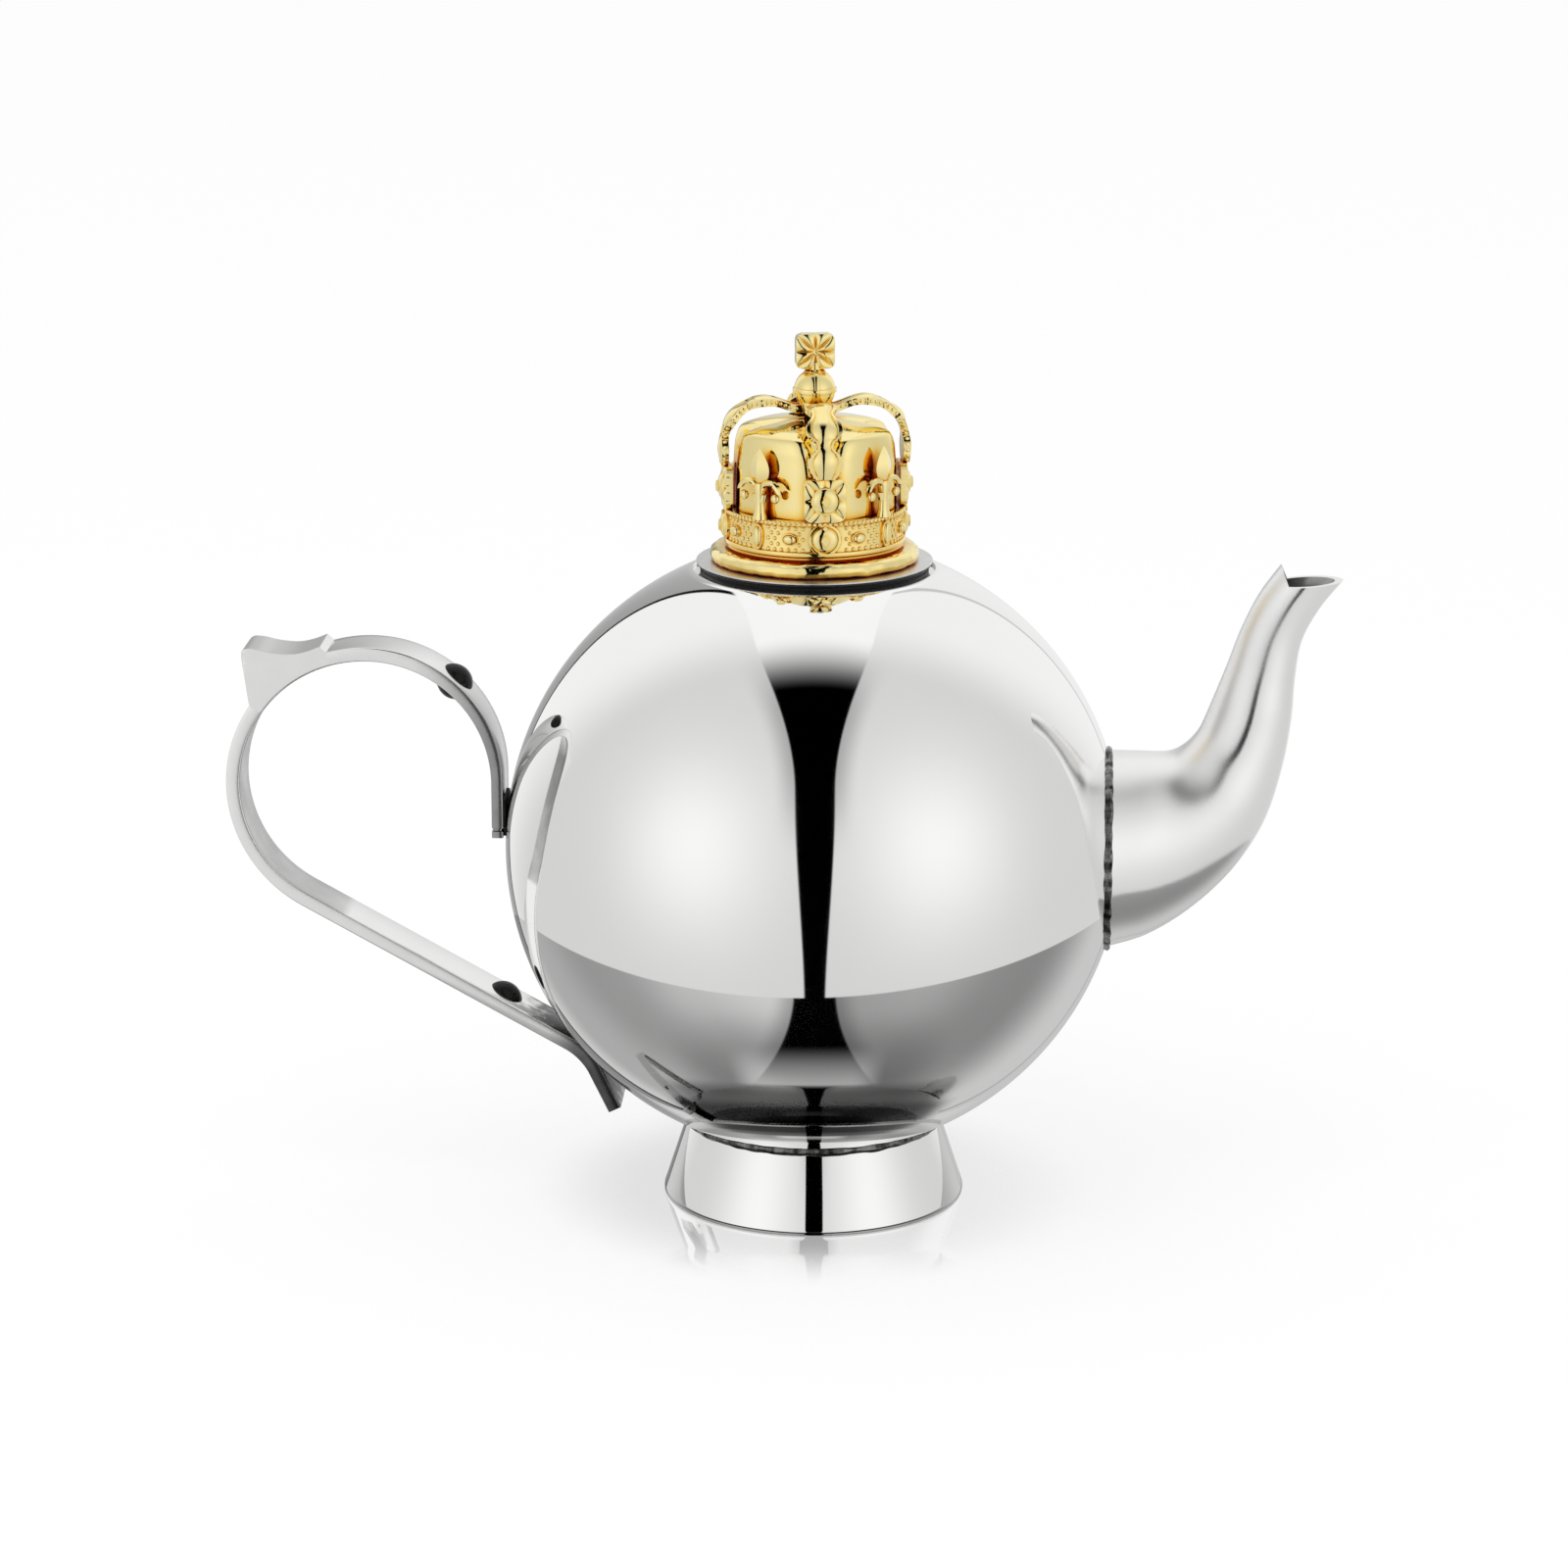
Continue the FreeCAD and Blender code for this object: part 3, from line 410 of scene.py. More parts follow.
ballSilver = metalFinish("ballSilver", (0.955, 0.953, 0.948, 1), (0.935, 0.933, 0.928, 1), 0.02, 0.045, 45)
spoutSilver = spoutFinish()
insideSilver = metalFinish("insideSilver", (0.50, 0.498, 0.494, 1), (0.34, 0.338, 0.335, 1), 0.28, 0.42, 300)
strapSilver = strapFinish()
brushedSilver = brushedFinish()
plateSilver = metalFinish("plateSilver", (0.80, 0.80, 0.795, 1), (0.70, 0.70, 0.695, 1), 0.30, 0.40, 500,
                          bump=0.2, bumpScale=2600)
solderMetal = metalFinish("solderMetal", (0.30, 0.297, 0.292, 1), (0.016, 0.015, 0.015, 1), 0.18, 0.45, 520,
                          bump=0.7, bumpScale=1500, spread=0.2)
padSolder = dullFinish("padSolder", (0.008, 0.008, 0.008, 1), (0.02, 0.02, 0.02, 1), 0.5, 0.7, 900, 0.4, 0.15)
screwSteel = metalFinish("screwSteel", (0.70, 0.70, 0.69, 1), (0.52, 0.52, 0.51, 1), 0.22, 0.38, 500,
                         bump=0.2, bumpScale=2500)
plugBlack = dullFinish("plugBlack", (0.004, 0.004, 0.004, 1), (0.010, 0.010, 0.010, 1), 0.16, 0.3, 400,
                       0.2, 0.16)
sealBlack = dullFinish("sealBlack", (0.004, 0.004, 0.004, 1), (0.010, 0.009, 0.009, 1), 0.34, 0.5, 700, 0.3)
crownGold = goldFinish()
print("materials ready")


def setOut(piece, body, slotName, material, *nodes):  # finish, body and the nodes that the piece stands for
    piece.data.materials.clear()
    piece.data.materials.append(material)
    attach(piece, body)
    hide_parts(*nodes)


# Ball of the pot, with its mouth and the strainer holes behind the spout

ball = {"radius": 62.5, "wall": 1.0, "centreHeight": 73.1, "lipRadius": 24.4, "lipWidth": 0.15,
        "seat": 130.05, "rimInner": 24.53, "rings": 110, "segments": 192, "holeRadius": 1.5, "holePitch": 5.0,
        "holeReach": 15.3, "pinLength": 30, "pinX": 60, "pinSides": 20}


def makeBall():
    centre = (0, ball["centreHeight"])
    inner = ball["radius"] - ball["wall"]
    mouth = math.degrees(math.acos(ball["lipRadius"] / ball["radius"]))
    rim = math.degrees(math.acos(ball["rimInner"] / inner))
    outside = arcPoints(centre, ball["radius"], -90, mouth, ball["rings"])
    inside = arcPoints(centre, inner, rim, -90, ball["rings"] // 2)
    lip = ball["lipRadius"] - ball["lipWidth"]
    step = [(lip, outside[-1][1]), (lip, ball["seat"]), (ball["rimInner"], ball["seat"])]
    piece = lathe("ball", outside + step + inside, ball["segments"])
    drill = strainerDrill()
    applyModifier(piece, "BOOLEAN", operation="DIFFERENCE", object=drill, solver="EXACT")
    bpy.data.objects.remove(drill)
    return closePiece(piece, merge=False)


def strainerDrill():  # pins in staggered rows
    pitch, reach = ball["holePitch"], ball["holeReach"]
    rows = int(reach // pitch) + 1
    deselectAll()
    pins = []
    for row in range(-rows, rows):
        height = (row + 0.5) * pitch
        for column in range(-rows, rows + 1):
            side = (column + 0.5 * (row % 2)) * pitch
            if math.hypot(side, height) <= reach:
                bpy.ops.mesh.primitive_cylinder_add(
                    vertices=ball["pinSides"], radius=ball["holeRadius"] * mm, depth=ball["pinLength"] * mm,
                    location=(ball["pinX"] * mm, side * mm, (ball["centreHeight"] + height) * mm),
                    rotation=(0, math.pi / 2, 0))
                pins.append(bpy.context.active_object)
    for pin in pins:
        pin.select_set(True)
    bpy.ops.object.join()
    return bpy.context.active_object


setOut(makeBall(), "pot", "silver", ballSilver, "upper_bowl", "lower_bowl")
print("ball done")


# Foot, and the rough beads of solder round it and round the spout's root

foot = {"bottomRadius": 30.75, "topRadius": 25.7, "wall": 1.2, "rimWidth": 4.0, "rimThickness": 1.2,
        "height": 16.13, "edgeRound": 0.7, "edgeLean": 0.05, "corner": 0.45, "tuckIn": 0.5, "segments": 160}
bead = {"footRadius": 1.0, "footOut": 0.2, "footUp": 0.02, "spoutRadius": 0.62, "spoutRootX": 59.21,
        "spoutRootRadius": 20.0, "spoutOut": 0.15, "spoutForward": 0.3, "lump": 0.24}


def makeFoot():
    low, top = foot["bottomRadius"], foot["topRadius"]
    slope = (low - top) / foot["height"]
    inRim = low - foot["rimWidth"]
    inWall = low - foot["wall"] - slope * foot["rimThickness"]
    outline = [(inRim, foot["rimThickness"]), (inRim, 0), (low - foot["edgeLean"], 0),
               (low, foot["edgeRound"]), (top - slope * foot["tuckIn"], foot["height"] + foot["tuckIn"]),
               (top - foot["wall"], foot["height"]), (inWall, foot["rimThickness"]),
               (inRim, foot["rimThickness"])]
    return lathe("footRing", eased(outline, foot["corner"]), foot["segments"])


def makeBead(name, ringRadius, beadRadius, place, turned, seed):
    deselectAll()
    bpy.ops.mesh.primitive_torus_add(major_segments=96, minor_segments=8, major_radius=ringRadius * mm,
                                     minor_radius=beadRadius * mm, location=place, rotation=turned)
    piece = openNew(name)
    bpy.ops.transform.vertex_random(offset=bead["lump"] * mm, uniform=0.6, normal=0.4, seed=seed)
    closePiece(piece)
    applyModifier(piece, "SUBSURF", levels=2, render_levels=2)
    return closePiece(piece, merge=False, smoothAngle=60)


setOut(makeFoot(), "pot", "silver", ballSilver, "foot_ring")
footBead = makeBead("footBead", foot["topRadius"] + bead["footOut"], bead["footRadius"],
                    (0, 0, (foot["height"] + bead["footUp"]) * mm), (0, 0, 0), 4)
spoutRoot = ((bead["spoutRootX"] + bead["spoutForward"]) * mm, 0, ball["centreHeight"] * mm)
spoutBead = makeBead("spoutBead", bead["spoutRootRadius"] + bead["spoutOut"], bead["spoutRadius"], spoutRoot,
                     (0, math.pi / 2, 0), 7)
setOut(footBead, "pot", "solder", solderMetal, "foot_solder")
setOut(spoutBead, "pot", "solder", solderMetal, "spout_solder")
print("foot and beads done")


# Spout, two pressed halves joined on the middle plane

spout = {
    "rootX": 59.21, "rootRadius": 20.0, "wall": 1.2, "around": 80, "steps": 6,
    # upper and lower edge at each ring, forward and up from the middle of the root
    "rings": [(0, 20.0, 0, -20.0), (6.8, 20.0, 8.3, -17.4), (12.3, 20.2, 18.1, -11.0),
              (15.6, 22.0, 26.2, -2.7), (17.8, 24.5, 31.3, 5.6), (19.3, 27.6, 35.1, 17.9),
              (20.7, 31.2, 36.6, 27.5), (23.3, 38.0, 37.1, 36.0), (26.2, 46.1, 38.4, 44.0),
              (29.4, 52.8, 41.6, 50.2), (34.6, 60.2, 47.4, 57.6)],
    "spur": (33.9, 58.6), "notch": (35.2, 55.3), "lip": (45.6, 56.0), "cutReach": 40.0,
    "narrowing": 0.10, "narrowBy": 13.0, "boreFacing": -0.4}


def fromRoot(forward, up):
    return Vector(((spout["rootX"] + forward) * mm, 0, (ball["centreHeight"] + up) * mm))


def makeSpoutTube():
    deselectAll()
    centre, tilt, radius = fromRoot(0, 0), 0.0, spout["rootRadius"] * mm
    bpy.ops.mesh.primitive_circle_add(vertices=spout["around"], radius=radius, location=centre,
                                      rotation=(0, math.pi / 2, 0))
    tube = openNew("spoutTube")
    for topX, topZ, lowX, lowZ in smoothThrough(spout["rings"], spout["steps"])[1:]:
        top, low = fromRoot(topX, topZ), fromRoot(lowX, lowZ)
        rise = top - low
        newCentre, newRadius = (top + low) / 2, rise.length / 2
        newTilt = math.degrees(math.atan2(rise.x, rise.z))
        grow = newRadius / radius
        extrudeBy(newCentre - centre)
        turnPicked(newTilt - tilt, "Y", newCentre)
        growPicked(grow, grow, grow, newCentre)
        centre, tilt, radius = newCentre, newTilt, newRadius
    closePiece(tube)
    for vertex in tube.data.vertices:
        share = min((vertex.co.x / mm - spout["rootX"]) / spout["narrowBy"], 1.0)
        vertex.co.y *= 1 - spout["narrowing"] * math.sin(share * math.pi / 2)
    applyModifier(tube, "SOLIDIFY", thickness=spout["wall"] * mm, offset=-1, use_even_offset=True)
    cutter = makeMouthCutter()
    applyModifier(tube, "BOOLEAN", operation="DIFFERENCE", object=cutter, solver="EXACT")
    bpy.data.objects.remove(cutter)
    return tube


def makeMouthCutter():  # a wedge above the pouring lip, its back face rising to the spur
    spur, notch, lip = (fromRoot(*spout[key]) for key in ("spur", "notch", "lip"))
    far = spout["cutReach"] * mm
    side = Vector((0, far, 0))
    alongLip = (lip - notch).normalized() * far
    alongSpur = (spur - notch).normalized() * far
    deselectAll()
    bpy.ops.mesh.primitive_cube_add(size=1)
    cutter = openNew("mouthCutter")
    bpy.ops.object.mode_set(mode="OBJECT")
    for vertex in cutter.data.vertices:
        ways = [0.5 + part for part in vertex.co]
        vertex.co = notch + alongLip * ways[0] + alongSpur * ways[2] + side * (2 * ways[1] - 1)
    openPiece(cutter)
    closePiece(cutter)
    return cutter


def splitHalf(tube, name, keepLeft):
    half = copyOf(tube, name)
    openPiece(half)
    bpy.ops.mesh.bisect(plane_co=(0, 0, 0), plane_no=(0, 1, 0), use_fill=True,
                        clear_inner=keepLeft, clear_outer=not keepLeft)
    return closePiece(half)


def dullInside(half):  # the bore is left rougher and darker in colour than the outside
    centres = [(fromRoot(topX, topZ) + fromRoot(lowX, lowZ)) / 2
               for topX, topZ, lowX, lowZ in smoothThrough(spout["rings"], spout["steps"])]
    half.data.materials.append(insideSilver)
    for face in half.data.polygons:
        middle = min(centres, key=lambda centre: (face.center - centre).length)
        outward = (face.center - middle).normalized()
        face.material_index = int(face.normal.dot(outward) < spout["boreFacing"])


spoutTube = makeSpoutTube()
for halfName, keepLeft, nodeName in (("spoutLeftHalf", True, "spout_left_half"),
                                     ("spoutRightHalf", False, "spout_right_half")):
    half = splitHalf(spoutTube, halfName, keepLeft)
    setOut(half, "pot", "silver", spoutSilver, nodeName)
    dullInside(half)
bpy.data.objects.remove(spoutTube)
print("spout done")


# Handle: a flat strap bent round two loops, its lower end curled away from the ball

strap = {"width": 12.0, "thickness": 2.85, "legThickness": 2.35, "edge": 0.32, "faceX": -62.65,
         "legFoot": 75.2, "loopX": -90.05, "frontRadius": 27.4, "frontZ": 87.0, "backRadius": 28.8,
         "backZ": 85.6, "bendX": -56.70, "bendZ": 20.04, "bendRadius": 15.0, "bendStep": 2.5, "armParts": 4,
         "tailSlope": 64.5, "tailLength": 7.6, "tailBelow": 30.0, "tailRound": 0.42, "footRound": 0.6,
         "longEdge": 5.0, "grooveFrom": 1.3, "grooveSlope": 0.2, "grooveFloor": 0.35, "grooveThin": 0.74,
         "grooveNarrow": 0.935, "sideFacing": 0.9}


def armSlope():  # degrees that the straight arm falls between the back loop and the lower bend
    runX, runZ = strap["bendX"] - strap["loopX"], strap["bendZ"] - strap["backZ"]
    reach = strap["backRadius"] - strap["thickness"] + strap["bendRadius"]
    return math.degrees(math.atan2(-runZ, runX) - math.asin(reach / math.hypot(runX, runZ)))


def bendStrap(centreX, centreZ, degrees):
    steps = max(4, round(abs(degrees) / strap["bendStep"]))
    bpy.ops.mesh.spin(steps=steps, angle=math.radians(degrees), center=(centreX * mm, 0, centreZ * mm),
                      axis=(0, 1, 0))


def pushStrap(slope, length, parts=1):
    way = Vector((math.cos(math.radians(slope)), 0, -math.sin(math.radians(slope)))) * (length * mm / parts)
    for part in range(parts):
        extrudeBy(way)


def makeStrap():
    slope = armSlope()
    thick = strap["thickness"]
    middle = (strap["faceX"] - thick / 2) * mm
    deselectAll()
    bpy.ops.mesh.primitive_plane_add(size=1, location=(middle, 0, strap["legFoot"] * mm))
    bpy.context.active_object.scale = (thick * mm, strap["width"] * mm, 1)
    piece = openNew("handleStrap")
    bpy.ops.mesh.bevel(offset=strap["edge"] * mm, segments=3, affect="VERTICES")
    rise = strap["frontZ"] - strap["legFoot"]
    thin, narrow, edge = strap["grooveThin"], strap["grooveNarrow"], strap["grooveSlope"]
    groove = ((strap["grooveFrom"], 1, 1), (edge, thin, narrow), (strap["grooveFloor"], 1, 1),
              (edge, 1 / thin, 1 / narrow))
    for length, deep, wide in groove:  # just above the leg's foot
        pushStrap(-90, length)
        growPicked(deep, wide, 1, (middle, 0, 0))
        rise -= length
    pushStrap(-90, rise, strap["armParts"])
    bendStrap(strap["loopX"], strap["frontZ"], 90)
    bendStrap(strap["loopX"], strap["backZ"], 180 - slope)
    gap = math.hypot(strap["bendX"] - strap["loopX"], strap["bendZ"] - strap["backZ"])
    reach = strap["backRadius"] - thick + strap["bendRadius"]
    pushStrap(slope, math.sqrt(gap ** 2 - reach ** 2), strap["armParts"])
    bendStrap(strap["bendX"], strap["bendZ"], slope - strap["tailSlope"])
    pushStrap(strap["tailSlope"], strap["tailLength"])
    pushStrap(strap["tailSlope"], thick / 2)
    closePiece(piece)
    thinLeg(piece)
    roundTail(piece)
    return closePiece(piece, merge=False)


def thinLeg(piece):  # the leg on the ball is thinner, and the front loop grows to the full thickness
    thick, leg = strap["thickness"], strap["legThickness"]
    for vertex in piece.data.vertices:
        x, z = vertex.co.x / mm, vertex.co.z / mm
        if x < strap["loopX"] or z < strap["legFoot"] - 0.01:
            continue
        if z <= strap["frontZ"]:
            depth = strap["faceX"] - x
            vertex.co.x = (strap["faceX"] - depth * leg / thick) * mm
        else:
            away = Vector((x - strap["loopX"], z - strap["frontZ"]))
            radius = away.length
            share = (leg + (thick - leg) * away.y / radius) / thick
            away *= (strap["frontRadius"] - (strap["frontRadius"] - radius) * share) / radius
            vertex.co.x = (strap["loopX"] + away.x) * mm
            vertex.co.z = (strap["frontZ"] + away.y) * mm


def roundTail(piece):  # the end of the tail is rounded over, and so is the foot of the leg
    fall = math.radians(strap["tailSlope"])
    along = Vector((math.cos(fall), 0, -math.sin(fall)))
    low = strap["tailBelow"] * mm
    tip = max(vertex.co.dot(along) for vertex in piece.data.vertices if vertex.co.z < low)
    openPiece(piece)

    def roundEdges(offset, segments, atEnd):  # the long edges whose two ends pass the test
        def picked(edge):
            ends = [piece.data.vertices[index].co for index in edge.vertices]
            return (ends[0] - ends[1]).length > strap["longEdge"] * mm and all(atEnd(end) for end in ends)

        selectParts(piece, "EDGE", picked)
        bpy.ops.mesh.bevel(offset=offset * mm, segments=segments, affect="EDGES")

    roundEdges(strap["thickness"] * strap["tailRound"], 5,
               lambda end: end.z < low and end.dot(along) > tip - 0.001 * mm)
    roundEdges(strap["footRound"], 4,
               lambda end: abs(end.z / mm - strap["legFoot"]) < 0.01 and end.x > strap["loopX"] * mm)
    closePiece(piece)


def brushSides(piece):  # the sawn sides stay brushed, the broad faces are polished
    piece.data.materials.append(brushedSilver)
    for face in piece.data.polygons:
        face.material_index = int(abs(face.normal.y) > strap["sideFacing"])


handleStrap = makeStrap()
setOut(handleStrap, "pot", "strap_silver", strapSilver, "handle_strap")
brushSides(handleStrap)
print("strap done")


# Solder on the leg, thin and lumpy, so that the gap above it closes in a slit

legSolder = {"thickness": 0.5, "standOff": 0.15, "width": 10.6, "low": 75.3, "top": 83.0, "cuts": 6,
             "lump": 0.16}


def makeLegSolder():
    low, top = legSolder["low"], legSolder["top"]
    middle = Vector((strap["faceX"] + legSolder["standOff"], 0, (low + top) / 2)) * mm
    deselectAll()
    bpy.ops.mesh.primitive_cube_add(size=1, location=middle)
    bpy.context.active_object.scale = Vector((legSolder["thickness"], legSolder["width"], top - low)) * mm
    piece = openNew("legSolder")
    bpy.ops.mesh.subdivide(number_cuts=legSolder["cuts"])
    bpy.ops.transform.vertex_random(offset=legSolder["lump"] * mm, uniform=0.7, normal=0.3, seed=5)
    closePiece(piece)
    applyModifier(piece, "SUBSURF", levels=1, render_levels=1)
    return closePiece(piece, merge=False, smoothAngle=60)


setOut(makeLegSolder(), "pot", "solder", padSolder, "handle_upper_solder")


# Thumb rest on the strap: hollowed top, raised pointed tip

thumb = {
    # degrees back from the top of the back loop, and height above the strap
    "front": (15.6, 0.0),
    "profile": [(17.4, 1.5), (22.0, 1.42), (28.5, 2.25), (34.5, 4.7), (38.2, 7.2), (40.4, 8.35), (42.2, 8.4),
                (43.9, 7.6), (45.2, 6.1), (47.6, 4.2), (51.4, 1.9), (54.9, 0.0)],
    "sink": 2.5, "noseDepth": 1.0, "noseX": -115.64, "noseHalf": 1.6, "width": 12.04, "columns": 90,
    "rows": 24, "layers": 24, "edge": 0.4}


def heightAt(place, stations):  # straight steps between close stations of (place, height)
    for (first, low), (last, high) in zip(stations, stations[1:]):
        if place <= last:
            return low + (high - low) * (place - first) / max(last - first, 1e-6)
    return stations[-1][1]


def thumbHalfWidth(x):  # straight sides that close in a rounded nose
    half, depth = thumb["width"] / 2, thumb["noseDepth"]
    behind = min(max(x - thumb["noseX"], 0.0), depth)
    bow = (half ** 2 + depth ** 2) / (2 * depth)
    return half if behind >= depth else max(math.sqrt(bow ** 2 - (bow - behind) ** 2), thumb["noseHalf"])


def makeThumbRest():
    deselectAll()
    bpy.ops.mesh.primitive_grid_add(x_subdivisions=thumb["columns"], y_subdivisions=thumb["rows"], size=1)
    piece = openNew("thumbRest")
    for layer in range(thumb["layers"]):  # thin layers, so that only the tip is rounded
        extrudeBy((0, 0, 1 / thumb["layers"]))
    bpy.ops.object.mode_set(mode="OBJECT")
    stations = [thumb["front"]] + smoothThrough(thumb["profile"], 10)
    first, last = stations[0][0], stations[-1][0]
    for vertex in piece.data.vertices:
        angle = between(first, last, vertex.co.x + 0.5)
        height = (heightAt(angle, stations) + thumb["sink"]) * vertex.co.z - thumb["sink"]
        across = vertex.co.y * 2
        radius = strap["backRadius"] + height
        turned = math.radians(90 + angle)
        x = strap["loopX"] + radius * math.cos(turned)
        z = strap["backZ"] + radius * math.sin(turned)
        vertex.co = Vector((x, across * thumbHalfWidth(x), z)) * mm
    openPiece(piece)
    closePiece(piece)
    softenEdges(piece, thumb["edge"], 3, 55)
    return piece


thumbRest = makeThumbRest()
setOut(thumbRest, "pot", "strap_silver", strapSilver, "thumb_rest")
brushSides(thumbRest)
print("thumb rest done")


# Black plugs through the strap

plugs = {"headRadius": 3.5, "dome": 2.1, "headSink": 0.55, "shankRadius": 2.0, "segments": 48,
         "upperAngle": 48.0, "lowerFromBend": 15.6}


def makePlug(name, middle, out, bothHeads):
    half = strap["thickness"] / 2
    head, dome = plugs["headRadius"], plugs["dome"]
    bow = (head ** 2 + dome ** 2) / (2 * dome)
    edge = math.degrees(math.acos(head / bow))
    upper = arcPoints((0, half + dome - bow), bow, 90, edge, 10)
    under = half - plugs["headSink"]
    outline = upper + [Vector((head, under)), Vector((plugs["shankRadius"], under))]
    if bothHeads:
        outline += [Vector((point[0], -point[1])) for point in reversed(outline)]
    else:
        outline += [Vector((plugs["shankRadius"], -half)), Vector((0, -half))]
    piece = lathe(name, outline, plugs["segments"])
    openPiece(piece)
    turnPicked(math.degrees(math.atan2(out.x, out.z)), "Y")
    movePicked(*middle)
    return closePiece(piece)


def plugPlaces():
    angle = math.radians(plugs["upperAngle"])
    upperOut = Vector((math.cos(angle), 0, math.sin(angle)))
    midLoop = strap["frontRadius"] - strap["thickness"] / 2
    upper = Vector((strap["loopX"], 0, strap["frontZ"])) + upperOut * midLoop
    slope = math.radians(armSlope())
    along = Vector((math.cos(slope), 0, -math.sin(slope)))
    lowerIn = Vector((math.sin(slope), 0, math.cos(slope)))
    bendMid = strap["bendRadius"] - strap["thickness"] / 2
    lower = Vector((strap["bendX"], 0, strap["bendZ"])) + lowerIn * bendMid - along * plugs["lowerFromBend"]
    return (upper, upperOut), (lower, lowerIn)


(upperMiddle, upperOut), (lowerMiddle, lowerIn) = plugPlaces()
upperPlug = makePlug("upperPlug", upperMiddle, upperOut, True)
lowerPlug = makePlug("lowerPlug", lowerMiddle, lowerIn, False)
setOut(upperPlug, "pot", "black_plug", plugBlack, "handle_upper_plug")
setOut(lowerPlug, "pot", "black_plug", plugBlack, "handle_lower_plug")
print("plugs done")


# Lid: seal and polished plate

lid = {"discRadius": 23.64, "discUnder": 131.53, "discTop": 132.33, "hole": 2.2, "sealInner": 20.25,
       "sealOuter": 22.84, "sealUnder": 130.07, "rim": 0.24, "corner": 0.08, "segments": 160,
       "chamferIn": 0.1, "lipLow": 131.2, "lipHigh": 131.7, "lipInset": 0.14, "lipUnder": 0.13, "gap": 0.02}
chamferStart = lid["sealOuter"] - lid["chamferIn"]
lipRadius = lid["discRadius"] - lid["lipInset"]

lidPlate = lathe("lidPlate", eased([  # chamfered under its rim
    (lid["hole"], lid["discUnder"]), (chamferStart, lid["discUnder"]),
    (lid["discRadius"], lid["discTop"] - lid["rim"]), (lid["discRadius"], lid["discTop"]),
    (lid["hole"], lid["discTop"]), (lid["hole"], lid["discUnder"])], lid["corner"]), lid["segments"])
sealRing = lathe("sealRing", eased([  # its lip reaches out under the chamfer
    (lid["sealInner"], lid["sealUnder"]), (lid["sealOuter"], lid["sealUnder"]),
    (lid["sealOuter"] + lid["chamferIn"], lid["lipLow"]), (lipRadius, lid["lipHigh"]),
    (lipRadius, lid["discTop"] - lid["rim"] - lid["lipUnder"]), (chamferStart, lid["discUnder"] - lid["gap"]),
    (lid["sealInner"], lid["discUnder"] - lid["gap"]), (lid["sealInner"], lid["sealUnder"])],
    lid["corner"]), lid["segments"])
setOut(lidPlate, "lid", "silver", plateSilver, "lid_disc")
setOut(sealRing, "lid_seal", "seal", sealBlack, "lid_seal")
print("lid done")


# Crown on the lid. Its pieces are modelled at the crown's front and then turned round the axis

crown = {"turn": 9.0, "baseTop": 136.33, "bandTop": 143.33, "bandRadius": 17.65, "crestRadius": 17.35,
         "archX": 9.8, "archZ": 156.23, "archRadius": 9.1, "archReach": 18.9, "fallAngle": 110.0,
         "crossing": 163.83}
quarterNames = ("front", "right", "back", "left")
cornerNames = ("front_right", "back_right", "back_left", "front_left")


def joinPieces(pieces, name):
    deselectAll()
    for piece in pieces:
        piece.select_set(True)
    bpy.context.view_layer.objects.active = pieces[0]
    bpy.ops.object.join()
    return nameActive(name)


def turnPiece(piece, degrees):  # round the crown's axis
    openPiece(piece)
    turnPicked(degrees, "Z")
    return closePiece(piece, merge=False)


def copyTurned(piece, name, degrees):
    return turnPiece(copyOf(piece, name), degrees)


def setGold(piece, nodeName):
    setOut(piece, "lid", "gold", crownGold, nodeName)


def setFour(piece, name, nodeName, places, turn):  # four turned copies in place of one piece
    for index, place in enumerate(places):
        setGold(copyTurned(piece, name + "." + place, turn + 90 * index), nodeName + "_" + place)
    bpy.data.objects.remove(piece)


def copyRound(piece, count):  # evenly spaced copies round the crown, in the same mesh
    openPiece(piece)
    turnPicked(crown["turn"], "Z")
    bpy.ops.mesh.spin(steps=count - 1, dupli=True, angle=fullTurn * (count - 1) / count, center=(0, 0, 0),
                      axis=(0, 0, 1))
    return closePiece(piece, merge=False)


def faceOut(piece, up, out, grow=(1, 1, 1)):  # from lying at the middle to its place on the crown's front
    openPiece(piece)
    growPicked(*grow)
    turnPicked(90, "X")
    movePicked(0, -out, up)
    return closePiece(piece, merge=False)


def makeStone(name, halfWidth, halfHeight, rise, up, out):  # a polished stone in a raised rim
    outline = [(1.28, -0.35), (1.28, 0.28), (1.22, 0.42), (1.1, 0.46), (1.0, 0.36), (0.97, 0.52),
               (0.86, 0.76), (0.62, 0.93), (0.3, 0.99), (0, 1.0)]
    return faceOut(lathe(name, outline, 32), up, out, (halfWidth, halfHeight, rise))


def makeLozenge(name, halfWidth, halfHeight, rise, up, out):
    deselectAll()
    bpy.ops.mesh.primitive_cone_add(vertices=4, radius1=mm, radius2=0.7 * mm, depth=mm)
    piece = openNew(name)
    closePiece(piece)
    faceOut(piece, up, out, (halfWidth, halfHeight, rise))
    softenEdges(piece, 0.06, 2, 25)
    return piece


# Base roll, slightly uneven as if cast and hand finished

baseRoll = {"footRadius": 19.95, "bellyRadius": 20.85, "bellyHeight": 1.35, "shoulderRadius": 18.1,
            "bore": 14.6, "bottom": 132.33, "corner": 0.3, "segments": 200, "unevenFrom": 19.2,
            "unevenness": 0.62, "lumpSize": 2.6}


